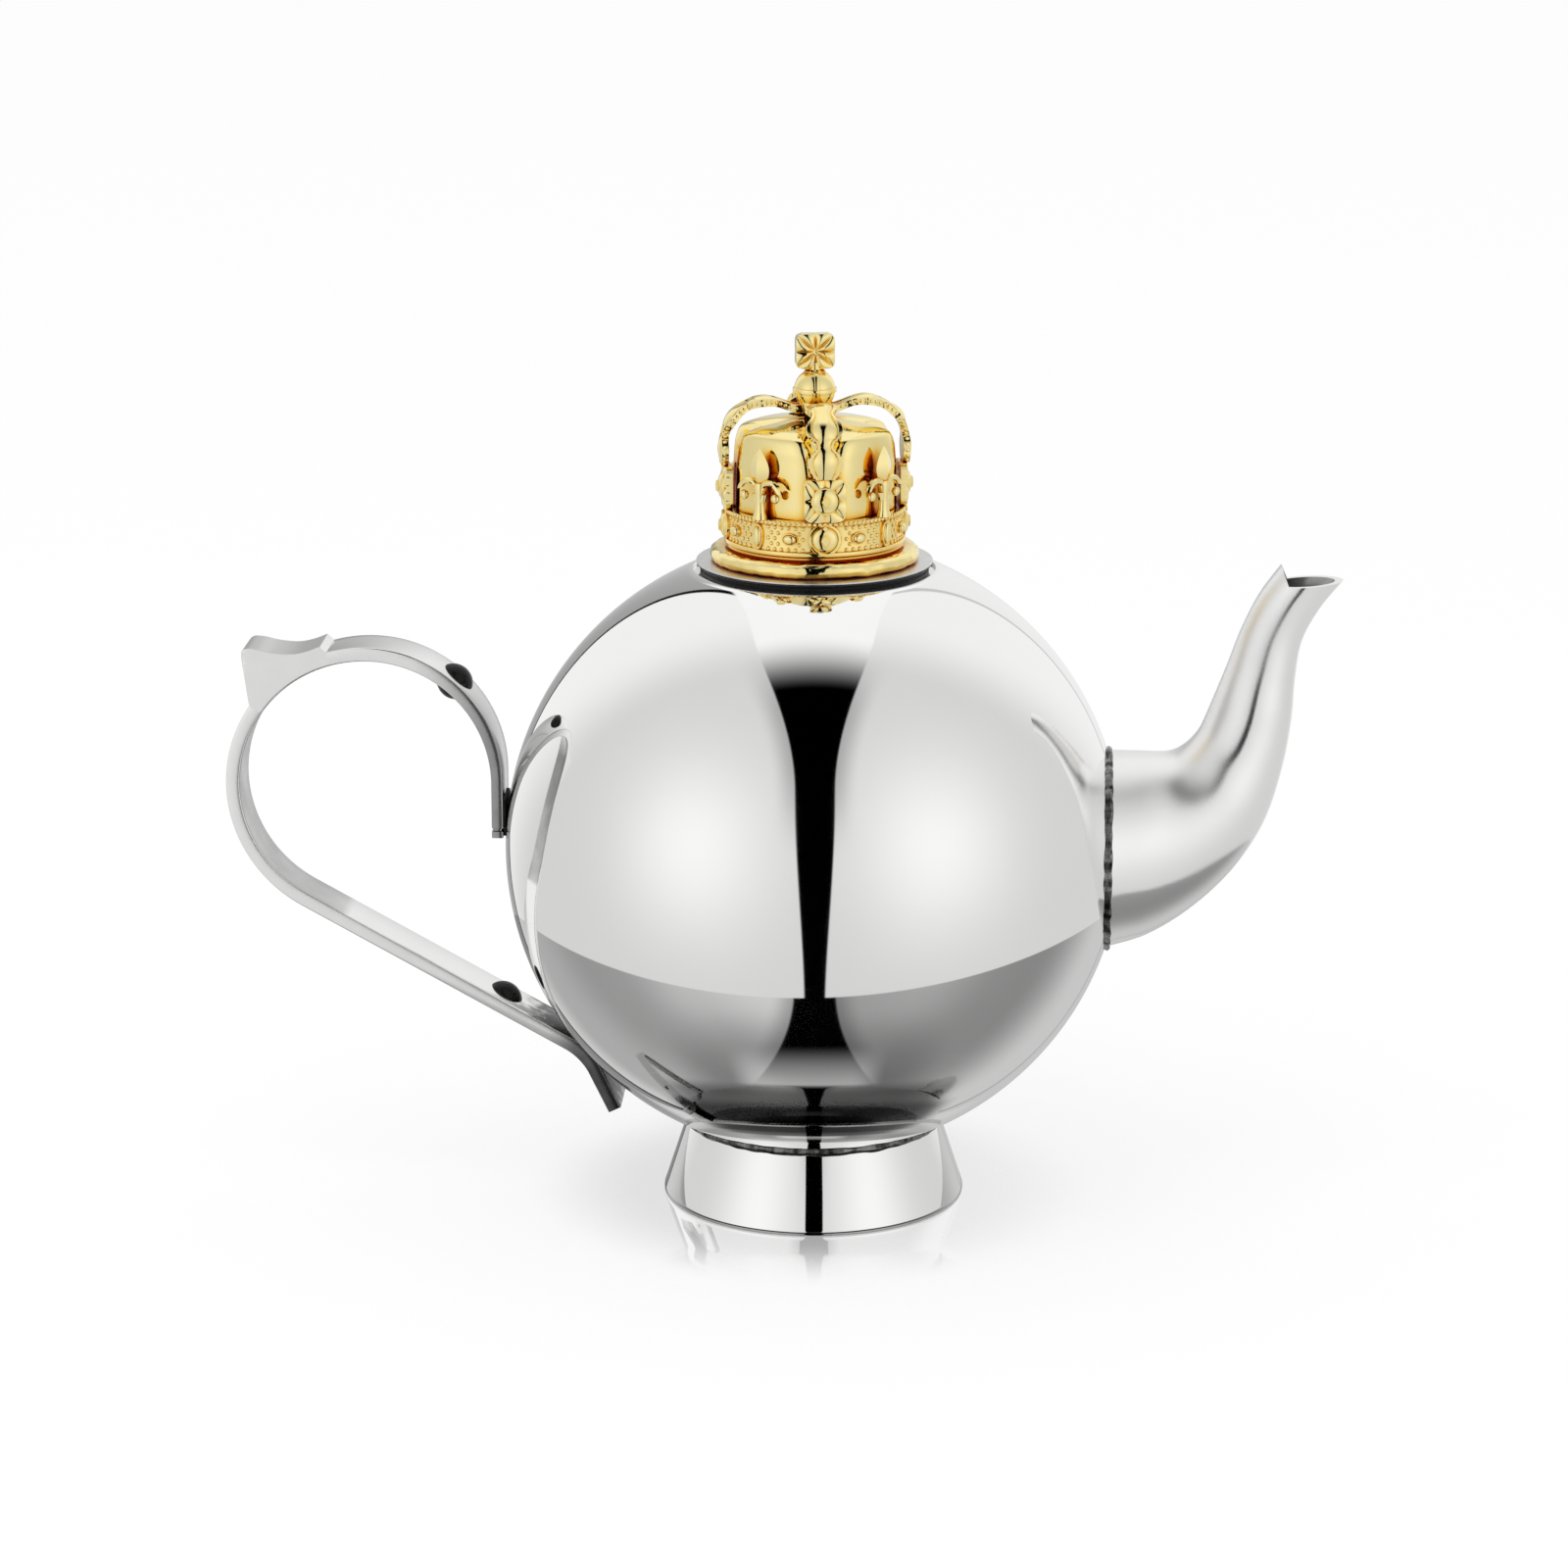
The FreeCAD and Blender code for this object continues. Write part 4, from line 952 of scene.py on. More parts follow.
def makeBaseRoll():
    low, top = baseRoll["bottom"], crown["baseTop"]
    middle = low + baseRoll["bellyHeight"]
    bore, belly, shoulder = baseRoll["bore"], baseRoll["bellyRadius"], baseRoll["shoulderRadius"]
    outline = [(bore, low), (baseRoll["footRadius"], low), (belly - 0.2, low + 0.45), (belly, middle),
               (belly - 0.25, middle + 0.95), (belly - 0.95, middle + 1.6), (shoulder + 0.3, top - 0.85),
               (shoulder - 0.6, top - 0.8), (shoulder - 0.8, top - 0.05), (bore, top), (bore, low)]
    piece = lathe("crownBaseRoll", eased(outline, baseRoll["corner"], 5), baseRoll["segments"])
    lumps = bpy.data.textures.new("castLumps", "CLOUDS")
    lumps.noise_scale = baseRoll["lumpSize"] * mm
    openPiece(piece)
    selectParts(piece, "VERT", lambda vertex: vertex.co.xy.length > baseRoll["unevenFrom"] * mm)
    bpy.ops.object.mode_set(mode="OBJECT")
    rolled = piece.vertex_groups.new(name="rolled")
    rolled.add([vertex.index for vertex in piece.data.vertices if vertex.select], 1.0, "REPLACE")
    applyModifier(piece, "DISPLACE", texture=lumps, strength=baseRoll["unevenness"] * mm, mid_level=0.5,
                  vertex_group="rolled", texture_coords="LOCAL")
    return closePiece(piece, merge=False, smoothAngle=50)


setGold(makeBaseRoll(), "crown_base_ring")


# Circlet: the band with its borders, pearls and stones

band = {"inner": 16.2, "border": 0.45, "borderHeight": 0.85, "upperInset": 0.25, "corner": 0.18,
        "segments": 200, "pearls": 112, "pearlRadius": 0.46, "pearlDrop": 0.42, "dotRadius": 0.42,
        "dotRows": 5, "dotRise": 1.08, "dotStep": 4.7, "dotReach": 9,
        # half widths and half heights kept free of dots round the three kinds of stone
        "roundClear": 4.1, "ovalClear": (2.3, 1.75), "tallClear": (1.9, 3.6),
        # half width, half height and rise of the stones and lozenges
        "roundStone": (2.55, 2.55, 1.3), "lozenge": (1.05, 1.6, 0.9), "topLozenge": (0.65, 0.85, 0.8),
        "tallStone": (0.95, 2.05, 1.15), "ovalStone": (1.3, 0.92, 1.1)}
bandMiddle = (crown["baseTop"] + crown["bandTop"]) / 2
bandFace = crown["bandRadius"]


def makePearl(name, radius, out, up):
    deselectAll()
    bpy.ops.mesh.primitive_uv_sphere_add(segments=8, ring_count=6, radius=radius * mm,
                                         location=(0, -out * mm, up * mm))
    piece = openNew(name)
    growPicked(1, 0.8, 1, (0, -out * mm, up * mm))
    return closePiece(piece)


def makeBand():
    low, top, border = crown["baseTop"], crown["bandTop"], band["borderHeight"]
    edge = bandFace + band["border"]
    upperEdge = edge - band["upperInset"]
    outline = [(band["inner"], low), (edge - 0.1, low), (edge, low + 0.3), (edge, low + border),
               (bandFace, low + border + 0.15), (bandFace, top - border - 0.15), (upperEdge, top - border),
               (upperEdge, top), (band["inner"], top), (band["inner"], low)]
    body = lathe("bandBody", eased(outline, band["corner"], 3), band["segments"])
    pearls = makePearl("bandPearls", band["pearlRadius"], upperEdge, top - band["pearlDrop"])
    copyRound(pearls, band["pearls"])
    dots = makeDots()
    return closePiece(joinPieces([body, pearls, dots], "crownCirclet"), merge=False)


def makeDots():  # staggered dots between the stones, one quarter of the band copied round
    dot = makePearl("bandDots", band["dotRadius"], bandFace, bandMiddle)
    dots = []

    def clear(across, rise, stoneAngle, halves):
        fromStone = abs(across) - math.radians(stoneAngle) * bandFace
        return math.hypot(fromStone / halves[0], rise / halves[1]) >= 1

    for row in range(band["dotRows"]):
        rise = (row - (band["dotRows"] - 1) / 2) * band["dotRise"]
        for column in range(-band["dotReach"], band["dotReach"] + 1):
            angle = (column + 0.5 * (row % 2)) * band["dotStep"]
            across = math.radians(angle) * bandFace
            if -45 <= angle < 45 and math.hypot(across, rise) >= band["roundClear"] and clear(
                    across, rise, 22.5, band["ovalClear"]) and clear(across, rise, 45, band["tallClear"]):
                made = copyTurned(dot, "bandDot", angle)
                openPiece(made)
                movePicked(0, 0, rise)
                dots.append(closePiece(made, merge=False))
    bpy.data.objects.remove(dot)
    return copyRound(joinPieces(dots, "bandDots"), 4)


def setStones(piece, count, nodeName, turn=0):
    if turn:
        turnPiece(piece, turn)
    setGold(copyRound(piece, count), nodeName)


setGold(makeBand(), "crown_circlet")
roundStones = joinPieces([
    makeStone("roundStone", *band["roundStone"], bandMiddle, bandFace - 0.15),
    makeLozenge("stoneLozenge", *band["lozenge"], bandMiddle - 0.1, bandFace + 1.15),
    makeLozenge("stoneTopLozenge", *band["topLozenge"], bandMiddle + 2.35, bandFace + 0.6)],
    "circletRoundGems")
setStones(roundStones, 4, "circlet_round_gems")
tallStones = makeStone("circletTallGems", *band["tallStone"], bandMiddle, bandFace)
setStones(tallStones, 4, "circlet_tall_gems", 45)
ovalStones = makeStone("circletOvalGems", *band["ovalStone"], bandMiddle, bandFace)
setStones(ovalStones, 8, "circlet_oval_gems", 22.5)
print("circlet done")


# Crosses with flared, ridged arms

crossFacts = {"width": 8.2, "height": 8.6, "plate": 1.4, "leaf": 0.55, "notch": 0.10, "bossRadius": 2.6,
              "bossRise": 1.25, "mark": (0.95, 1.5, 0.8)}
finial = {"width": 7.7, "height": 6.9, "plate": 2.2, "leaf": 0.75, "notch": 0.09, "orbTop": 170.52,
          "stemHeight": 0.4}
leafFacts = {"grid": 36, "notchWidth": 0.3, "sharpness": 0.7, "rootReach": 0.45, "tipFall": 0.6}


def makeLeafCross(name, facts, bothSides):  # a square plate with notched corners and eight raised leaves
    deselectAll()
    bpy.ops.mesh.primitive_grid_add(x_subdivisions=leafFacts["grid"], y_subdivisions=leafFacts["grid"],
                                    size=2, rotation=(math.pi / 2, 0, 0))
    piece = openNew(name)
    extrudeBy((0, 1, 0))
    bpy.ops.object.mode_set(mode="OBJECT")
    for vertex in piece.data.vertices:
        across, up, back = vertex.co.x, vertex.co.z, vertex.co.y > 0.5
        reach = max(abs(across), abs(up))
        onDiagonal = max(0.0, 1 - abs(abs(across) - abs(up)) / leafFacts["notchWidth"])
        pull = 1 - facts["notch"] * onDiagonal * reach ** 4
        leaf = abs(math.sin(4 * math.atan2(up, across))) ** leafFacts["sharpness"]
        leaf *= min(reach / leafFacts["rootReach"], 1) * (1 - leafFacts["tipFall"] * reach ** 6)
        depth = facts["plate"] / 2 + (facts["leaf"] * leaf if bothSides or not back else 0)
        vertex.co = Vector((across * pull * facts["width"] / 2, depth if back else -depth,
                            up * pull * facts["height"] / 2)) * mm
    openPiece(piece)
    closePiece(piece)
    softenEdges(piece, 0.22, 3, 72)
    return closePiece(piece, merge=False, smoothAngle=40)


def makeCross():
    plate = makeLeafCross("crossPlate", crossFacts, False)
    rise, radius = crossFacts["bossRise"], crossFacts["bossRadius"]
    dome = lathe("crossBoss", [
        (radius + 0.25, 0), (radius + 0.25, 0.4), (radius + 0.1, 0.62), (radius - 0.12, 0.6),
        (radius - 0.2, 0.7), (radius * 0.75, rise * 0.82), (radius * 0.4, rise * 0.97), (0, rise)], 40)
    faceOut(dome, 0, crossFacts["plate"] / 2)
    mark = makeLozenge("crossLozenge", *crossFacts["mark"], 0, crossFacts["plate"] / 2 + rise + 0.05)
    piece = joinPieces([plate, dome, mark], "crownCross")
    openPiece(piece)
    movePicked(0, -crown["crestRadius"], crown["bandTop"] + crossFacts["height"] / 2)
    return closePiece(piece, merge=False, smoothAngle=40)


setFour(makeCross(), "crownCross", "crown_cross", quarterNames, crown["turn"])
print("crosses done")


# Fleurs with a pointed ridged petal and two curled leaves

fleur = {"height": 14.0, "neck": 6.1, "petalWidth": 4.7, "petalDepth": 2.3, "curlRadius": 1.45,
         "curlBand": 0.8, "curlReach": 2.5, "curlHeight": 4.85, "curlTurn": 200, "knob": 0.98,
         "curlLean": 0.45, "curlStem": 1.5, "flatness": 0.85,
         # radius and height up the stem
         "stem": [(0, -0.1), (1.6, -0.1), (1.5, 0.4), (1.15, 1.4), (1.05, 3.0), (1.1, 5.0), (1.25, 6.4),
                  (1.1, 7.0), (0, 7.3)]}


def makePetal():
    deselectAll()
    bpy.ops.mesh.primitive_uv_sphere_add(segments=16, ring_count=24, radius=1)
    piece = openNew("fleurPetal")
    bpy.ops.object.mode_set(mode="OBJECT")
    low, high = fleur["neck"], fleur["height"]
    for vertex in piece.data.vertices:
        part = (vertex.co.z + 1) / 2
        around = math.atan2(vertex.co.y, vertex.co.x)
        belly = math.sin(math.pi * part ** 0.85) ** 0.95 if 0 < part < 1 else 0.0
        lens = 1 / (abs(math.cos(around)) + abs(math.sin(around)) * 0.9)  # four soft ridges
        vertex.co = Vector((math.cos(around) * lens * belly * fleur["petalWidth"] / 2,
                            math.sin(around) * lens * belly * fleur["petalDepth"] / 2,
                            between(low, high, part))) * mm
    openPiece(piece)
    return closePiece(piece, smoothAngle=40)


def makeCurl(side):  # a leaf that rises from the stem, arches over and hooks back in to a knob
    centre = Vector((side * fleur["curlReach"], 0, fleur["curlHeight"])) * mm
    start = centre - Vector((side * fleur["curlRadius"] * mm, 0, 0))
    deselectAll()
    bpy.ops.mesh.primitive_circle_add(vertices=10, radius=fleur["curlBand"] * mm, location=start,
                                      fill_type="NGON")
    piece = openNew("fleurCurl")
    extrudeBy((-side * fleur["curlLean"] * mm, 0, -fleur["curlStem"] * mm))
    selectParts(piece, "FACE", lambda face: face.normal.z > 0.9)
    bpy.ops.mesh.spin(steps=18, angle=math.radians(-side * fleur["curlTurn"]), center=centre, axis=(0, 1, 0))
    closePiece(piece, smoothAngle=60)
    angle = math.radians(180 - fleur["curlTurn"])
    tip = centre + Vector((side * math.cos(angle), 0, math.sin(angle))) * fleur["curlRadius"] * mm
    deselectAll()
    bpy.ops.mesh.primitive_uv_sphere_add(segments=14, ring_count=10, radius=fleur["knob"] * mm, location=tip)
    knob = openNew("fleurKnob")
    growPicked(1, 0.9, 1, tip)
    closePiece(knob)
    return [piece, knob]


def makeFleur():
    stem = lathe("fleurStem", fleur["stem"], 20)
    piece = joinPieces([makePetal(), stem] + makeCurl(1) + makeCurl(-1), "crownFleur")
    openPiece(piece)
    growPicked(1, fleur["flatness"], 1)
    movePicked(0, -crown["crestRadius"], crown["bandTop"])
    return closePiece(piece, merge=False, smoothAngle=40)


setFour(makeFleur(), "crownFleur", "crown_fleur", cornerNames, crown["turn"] + 45)
print("fleurs done")


# Half arches: plates that swell and narrow, with a raised rim and beads along both edges

arch = {
    # distance along the arch from its cross, and half of its width there
    "widths": [(0.0, 1.8), (1.2, 2.7), (3.5, 3.5), (5.2, 2.5), (6.4, 1.5), (7.4, 1.75), (8.6, 3.0),
               (10.0, 3.6), (11.6, 3.3), (13.2, 2.4), (14.4, 2.1), (16.4, 2.9), (18.2, 3.1), (20.4, 2.2),
               (23.4, 1.8), (26.4, 2.0)],
    "thickness": 1.5, "sink": 0.35, "dome": 0.75, "domeFrom": 1.3, "rim": 0.3, "rimShare": 0.72,
    "columns": 120, "rows": 26, "edge": 0.12, "ribRadius": 0.46, "ribStep": 1.05, "ribsEnd": 25.2,
    "ribInset": 0.12, "ribSink": 0.7}


def archPlace(along):  # place and outward way on the arch's middle line, in the plane of X and Z
    radius = crown["archRadius"]
    leg = crown["archZ"] - crown["bandTop"] - crossFacts["height"]
    bend = radius * math.radians(crown["fallAngle"])
    slope = math.radians(crown["fallAngle"] - 90)
    fallX = crown["archX"] + radius * math.cos(math.radians(crown["fallAngle"]))
    fallZ = crown["archZ"] + radius * math.sin(math.radians(crown["fallAngle"]))
    straight = (fallZ - crown["crossing"]) / math.sin(slope)
    if along <= leg:
        return (crown["archReach"], crown["archZ"] - leg + along), (1, 0)
    if along <= leg + bend:
        angle = (along - leg) / radius
        return ((crown["archX"] + radius * math.cos(angle), crown["archZ"] + radius * math.sin(angle)),
                (math.cos(angle), math.sin(angle)))
    rest = along - leg - bend
    if rest <= straight:
        return ((fallX - rest * math.cos(slope), fallZ - rest * math.sin(slope)),
                (-math.sin(slope), math.cos(slope)))
    meetX = fallX - straight * math.cos(slope)
    return (meetX - (rest - straight), crown["crossing"]), (0, 1)


def makeArch():
    stations = smoothThrough(arch["widths"], 6)
    length = arch["widths"][-1][0]
    deselectAll()
    bpy.ops.mesh.primitive_grid_add(x_subdivisions=arch["columns"], y_subdivisions=arch["rows"], size=1)
    plate = openNew("archPlate")
    extrudeBy((0, 0, 1))
    bpy.ops.object.mode_set(mode="OBJECT")
    for vertex in plate.data.vertices:
        along = (vertex.co.x + 0.5) * length
        share = vertex.co.y * 2
        (x, z), (outX, outZ) = archPlace(along)
        half = heightAt(along, stations)
        lift = -arch["thickness"]
        if vertex.co.z > 0.5:  # a raised rim, and a swelling between the rims
            inside = abs(share) / arch["rimShare"]
            swell = max(half - arch["domeFrom"], 0) / 2
            lift = (arch["dome"] * swell * (1 - inside ** 2) if inside < 1 else arch["rim"]) - arch["sink"]
        vertex.co = Vector((share * half, -(x + outX * lift), z + outZ * lift)) * mm
    openPiece(plate)
    closePiece(plate, smoothAngle=50)
    softenEdges(plate, arch["edge"], 2, 60)
    rib = makePearl("archRib", arch["ribRadius"], 0, 0)
    openPiece(rib)
    growPicked(0.55, 1.25, 1)
    closePiece(rib)
    ribs = []
    for side in (1, -1):
        for index in range(int(arch["ribsEnd"] / arch["ribStep"])):  # small ribs across both edges
            along = (index + 0.6) * arch["ribStep"]
            (x, z), (outX, outZ) = archPlace(along)
            half = heightAt(along, stations) - arch["ribInset"]
            x, z = x - outX * arch["ribSink"], z - outZ * arch["ribSink"]
            made = copyTurned(rib, "archRib", 0)
            openPiece(made)
            turnPicked(-math.degrees(math.atan2(outZ, outX)), "X")
            movePicked(side * half, -x, z)
            ribs.append(closePiece(made, merge=False))
    bpy.data.objects.remove(rib)
    return closePiece(joinPieces([plate] + ribs, "crownArch"), merge=False, smoothAngle=50)


setFour(makeArch(), "crownArch", "crown_arch", quarterNames, crown["turn"])
print("arches done")


# Cap: a puffed cushion in four lobes under the arches

cap = {
    # radius and height up the middle of a lobe, and up the valley under an arch
    "lobe": [(15.4, 136.4), (15.5, 143.3), (15.5, 149.5), (15.45, 154.5), (15.3, 157.2), (14.7, 158.9),
             (13.1, 159.7), (9.6, 160.4), (5.0, 160.9), (0, 161.1)],
    "valley": [(15.8, 136.4), (15.8, 143.3), (15.7, 148.5), (15.4, 152.6), (14.7, 155.4), (13.2, 157.7),
               (11.0, 159.0), (8.0, 159.9), (4.4, 160.7), (0, 161.1)], "sharpness": 9.0, "flatness": 0.42,
    "flatBelow": 14.0, "segments": 180}


def makeCap():
    lobe, valley = (smoothThrough(cap[key], 6) for key in ("lobe", "valley"))
    piece = lathe("crownCap", lobe, cap["segments"])
    for vertex in piece.data.vertices:
        place = (vertex.co.xy.length / mm, vertex.co.z / mm)
        index = min(range(len(lobe)), key=lambda step: math.dist(lobe[step], place))
        around = math.atan2(vertex.co.y, vertex.co.x) - math.radians(crown["turn"])
        share = abs(math.cos(2 * around)) ** cap["sharpness"]
        fromMiddle = abs((around + math.pi / 2) % (math.pi / 2) - math.pi / 4)
        flat = cap["flatness"] * min(lobe[index][0] / cap["flatBelow"], 1)
        broad = 1 + flat * (1 / math.cos(fromMiddle) - 1)
        full = Vector((lobe[index][0] * broad, lobe[index][1]))
        radius, height = full.lerp(Vector(valley[index]), share)
        if place[0] > 0.01:
            vertex.co.x *= radius / place[0]
            vertex.co.y *= radius / place[0]
        vertex.co.z = height * mm
    return closePiece(piece, merge=False, smoothAngle=60)


setGold(makeCap(), "crown_cap")


# Orb with its bands, and the finial cross

orb = {"radius": 4.1, "centre": 166.63, "bandRadius": 4.42, "bandHeight": 0.95, "bandSink": 0.3,
       "seatRadius": 3.4, "seatTopRadius": 2.6, "seatLow": 0.6, "seatStep": 0.7, "seatHigh": 0.9,
       "segments": 64}


def makeOrb():
    foot = crown["crossing"]
    deselectAll()
    bpy.ops.mesh.primitive_uv_sphere_add(segments=orb["segments"], ring_count=40, radius=orb["radius"] * mm,
                                         location=(0, 0, orb["centre"] * mm))
    piece = openNew("crownOrb")
    bpy.ops.mesh.bisect(plane_co=(0, 0, foot * mm), plane_no=(0, 0, 1), use_fill=True, clear_inner=True)
    closePiece(piece)
    low, step, top = foot - orb["seatLow"], foot + orb["seatStep"], foot + orb["seatHigh"]
    seatRing = lathe("orbSeat", eased([(0, low), (orb["seatRadius"], low), (orb["seatRadius"], step),
                                       (orb["seatTopRadius"], top), (0, top)], 0.3), 48)
    return closePiece(joinPieces([piece, seatRing], "crownOrb"), merge=False)


def makeOrbBand():
    inner, outer = orb["radius"] - orb["bandSink"], orb["bandRadius"]
    half = orb["bandHeight"] / 2
    section = eased([(inner, -half), (outer - 0.05, -half), (outer, 0), (outer - 0.05, half), (inner, half),
                     (inner, -half)], 0.15)
    level = lathe("orbBand", section, orb["segments"])
    upright = lathe("orbUpright", section, orb["segments"])
    openPiece(upright)
    turnPicked(90, "Y")
    turnPicked(crown["turn"], "Z")
    growPicked(0.98, 0.98, 0.98)
    bpy.ops.mesh.bisect(plane_co=(0, 0, 0), plane_no=(0, 0, 1), use_fill=True, clear_inner=True)
    closePiece(upright)
    piece = joinPieces([level, upright], "crownOrbBand")
    openPiece(piece)
    movePicked(0, 0, orb["centre"])
    return closePiece(piece, merge=False)


def makeFinial():
    plate = makeLeafCross("finialCross", finial, True)
    stem = lathe("finialStem", [(0, -4.4), (2.0, -4.4), (2.1, -4.0), (1.6, -3.6), (1.5, -2.2), (0, -2.0)], 32)
    middle = finial["orbTop"] + finial["stemHeight"] + finial["height"] / 2
    piece = joinPieces([plate, stem], "crownFinialCross")
    openPiece(piece)
    turnPicked(crown["turn"], "Z")
    movePicked(0, 0, middle)
    return closePiece(piece, merge=False, smoothAngle=40)


setGold(makeOrb(), "crown_orb")
setGold(makeOrbBand(), "crown_orb_band")
setGold(makeFinial(), "crown_finial_cross")
print("crown done")


# CAD nodes that stay, each with its finish

keptFinish = {"mouth_collar": ballSilver, "lid_skirt": ballSilver, "lid_fixing_screw": screwSteel,
              "lid_screw_washer": screwSteel, "handle_lower_solder": padSolder}
for nodeName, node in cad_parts.items():
    finish = keptFinish.get(nodeName, crownGold if nodeName.startswith(("crown", "circlet")) else None)
    if finish:
        for place in node.material_slots:
            place.material = finish


# Camera at the photograph's viewing angle

cameraFacts = {"place": (0.0398, -0.9552, 0.3370), "ahead": (-0.04643, 0.96605, -0.25416), "lens": 112.18}

camera = bpy.data.objects.new("camera", bpy.data.cameras.new("camera"))
bpy.context.scene.collection.objects.link(camera)
camera.location = cameraFacts["place"]
camera.rotation_euler = Vector(cameraFacts["ahead"]).to_track_quat("-Z", "Y").to_euler()
camera.data.lens = cameraFacts["lens"]
camera.data.sensor_width = 36.0
camera.data.clip_start, camera.data.clip_end = 0.01, 20.0
bpy.context.scene.camera = camera


# Studio: white surroundings, a pale floor that is a grey table top in reflections, and a light tent
# with a dark slit round the camera that only shows in the metal

studio = {"ambient": 0.93, "tentRadius": 1.4, "floorSize": 12.0, "floorGlow": 0.72, "floorGloss": 0.55,
          "glossReach": (0.033, 0.060), "glossRough": 0.03, "tableCentre": (0.0042, 0.0439),
          "tableRadius": 0.1694, "tableEdge": 0.0008, "tableRough": 0.035, "bearingShift": 0.054,
          # the table's grey straight ahead, with painted light and shade, and its changes between two
          # bearings in degrees, left and right
          "shineLeft": 0.86, "leftSteps": [(28, 62, -0.24), (62, 88, -0.16), (132, 152, 0.2)],
          "shineRight": 0.46, "rightSteps": [(58, 88, -0.1), (100, 142, 0.28)],
          # painted shade under the ball before the foot: by how much, out to which reach, and within which
          # share of straight ahead
          "shadeBeforeFoot": [(0.38, 0.070, 0.115, 0.6, 0.9), (0.6, 0.050, 0.058, 0.35, 0.65),
                    (0.6, 0.040, 0.047, 0.2, 0.5)],
          # painted light on the table in the metal: a pale ring under the foot's edge and a glow before the
          # foot
          "rimHighlight": 0.45, "rimReach": (0.0318, 0.0328), "glowBeforeFoot": 0.3, "glowFrom": (0.054, 0.057),
          "glowTo": (0.058, 0.082), "glowAhead": (0.88, 0.97), "slitLow": 0.055,
          "slitNarrow": 0.122, "slitWide": 0.28, "slitShade": 0.38, "hemWidth": 0.14, "topBright": 0.97,
          "panelDim": 0.68, "panelBright": 0.98, "patchSide": 0.695, "patchAhead": 0.719, "patchRise": 15.0,
          "patchSpread": 30.0, "backBright": 0.92, "seamLean": 0.466, "rearLeft": 0.36, "rearRight": 0.88}

bpy.context.scene.view_settings.view_transform = "Standard"
world = bpy.data.worlds.new("studioWorld")
bpy.context.scene.world = world
sky = Shade(emptyTree(world))
lightPath = "ShaderNodeLightPath"
seen = (sky.node(lightPath, output="Is Camera Ray") + sky.node(lightPath, output="Is Glossy Ray")
        + sky.node(lightPath, output="Is Transmission Ray"))
seen = sky.sums("MINIMUM", seen, 1.0)
background = sky.node("ShaderNodeBackground", None, {
    "Color": (1, 1, 1, 1), "Strength": between(studio["ambient"], 1, seen)})
skyOutput = world.node_tree.nodes.new("ShaderNodeOutputWorld")
world.node_tree.links.new(background.socket, skyOutput.inputs["Surface"])


def turnedTo(angle, low, high):  # an angle's share of the way between two angles in degrees
    return angle.eased(math.radians(low), math.radians(high))


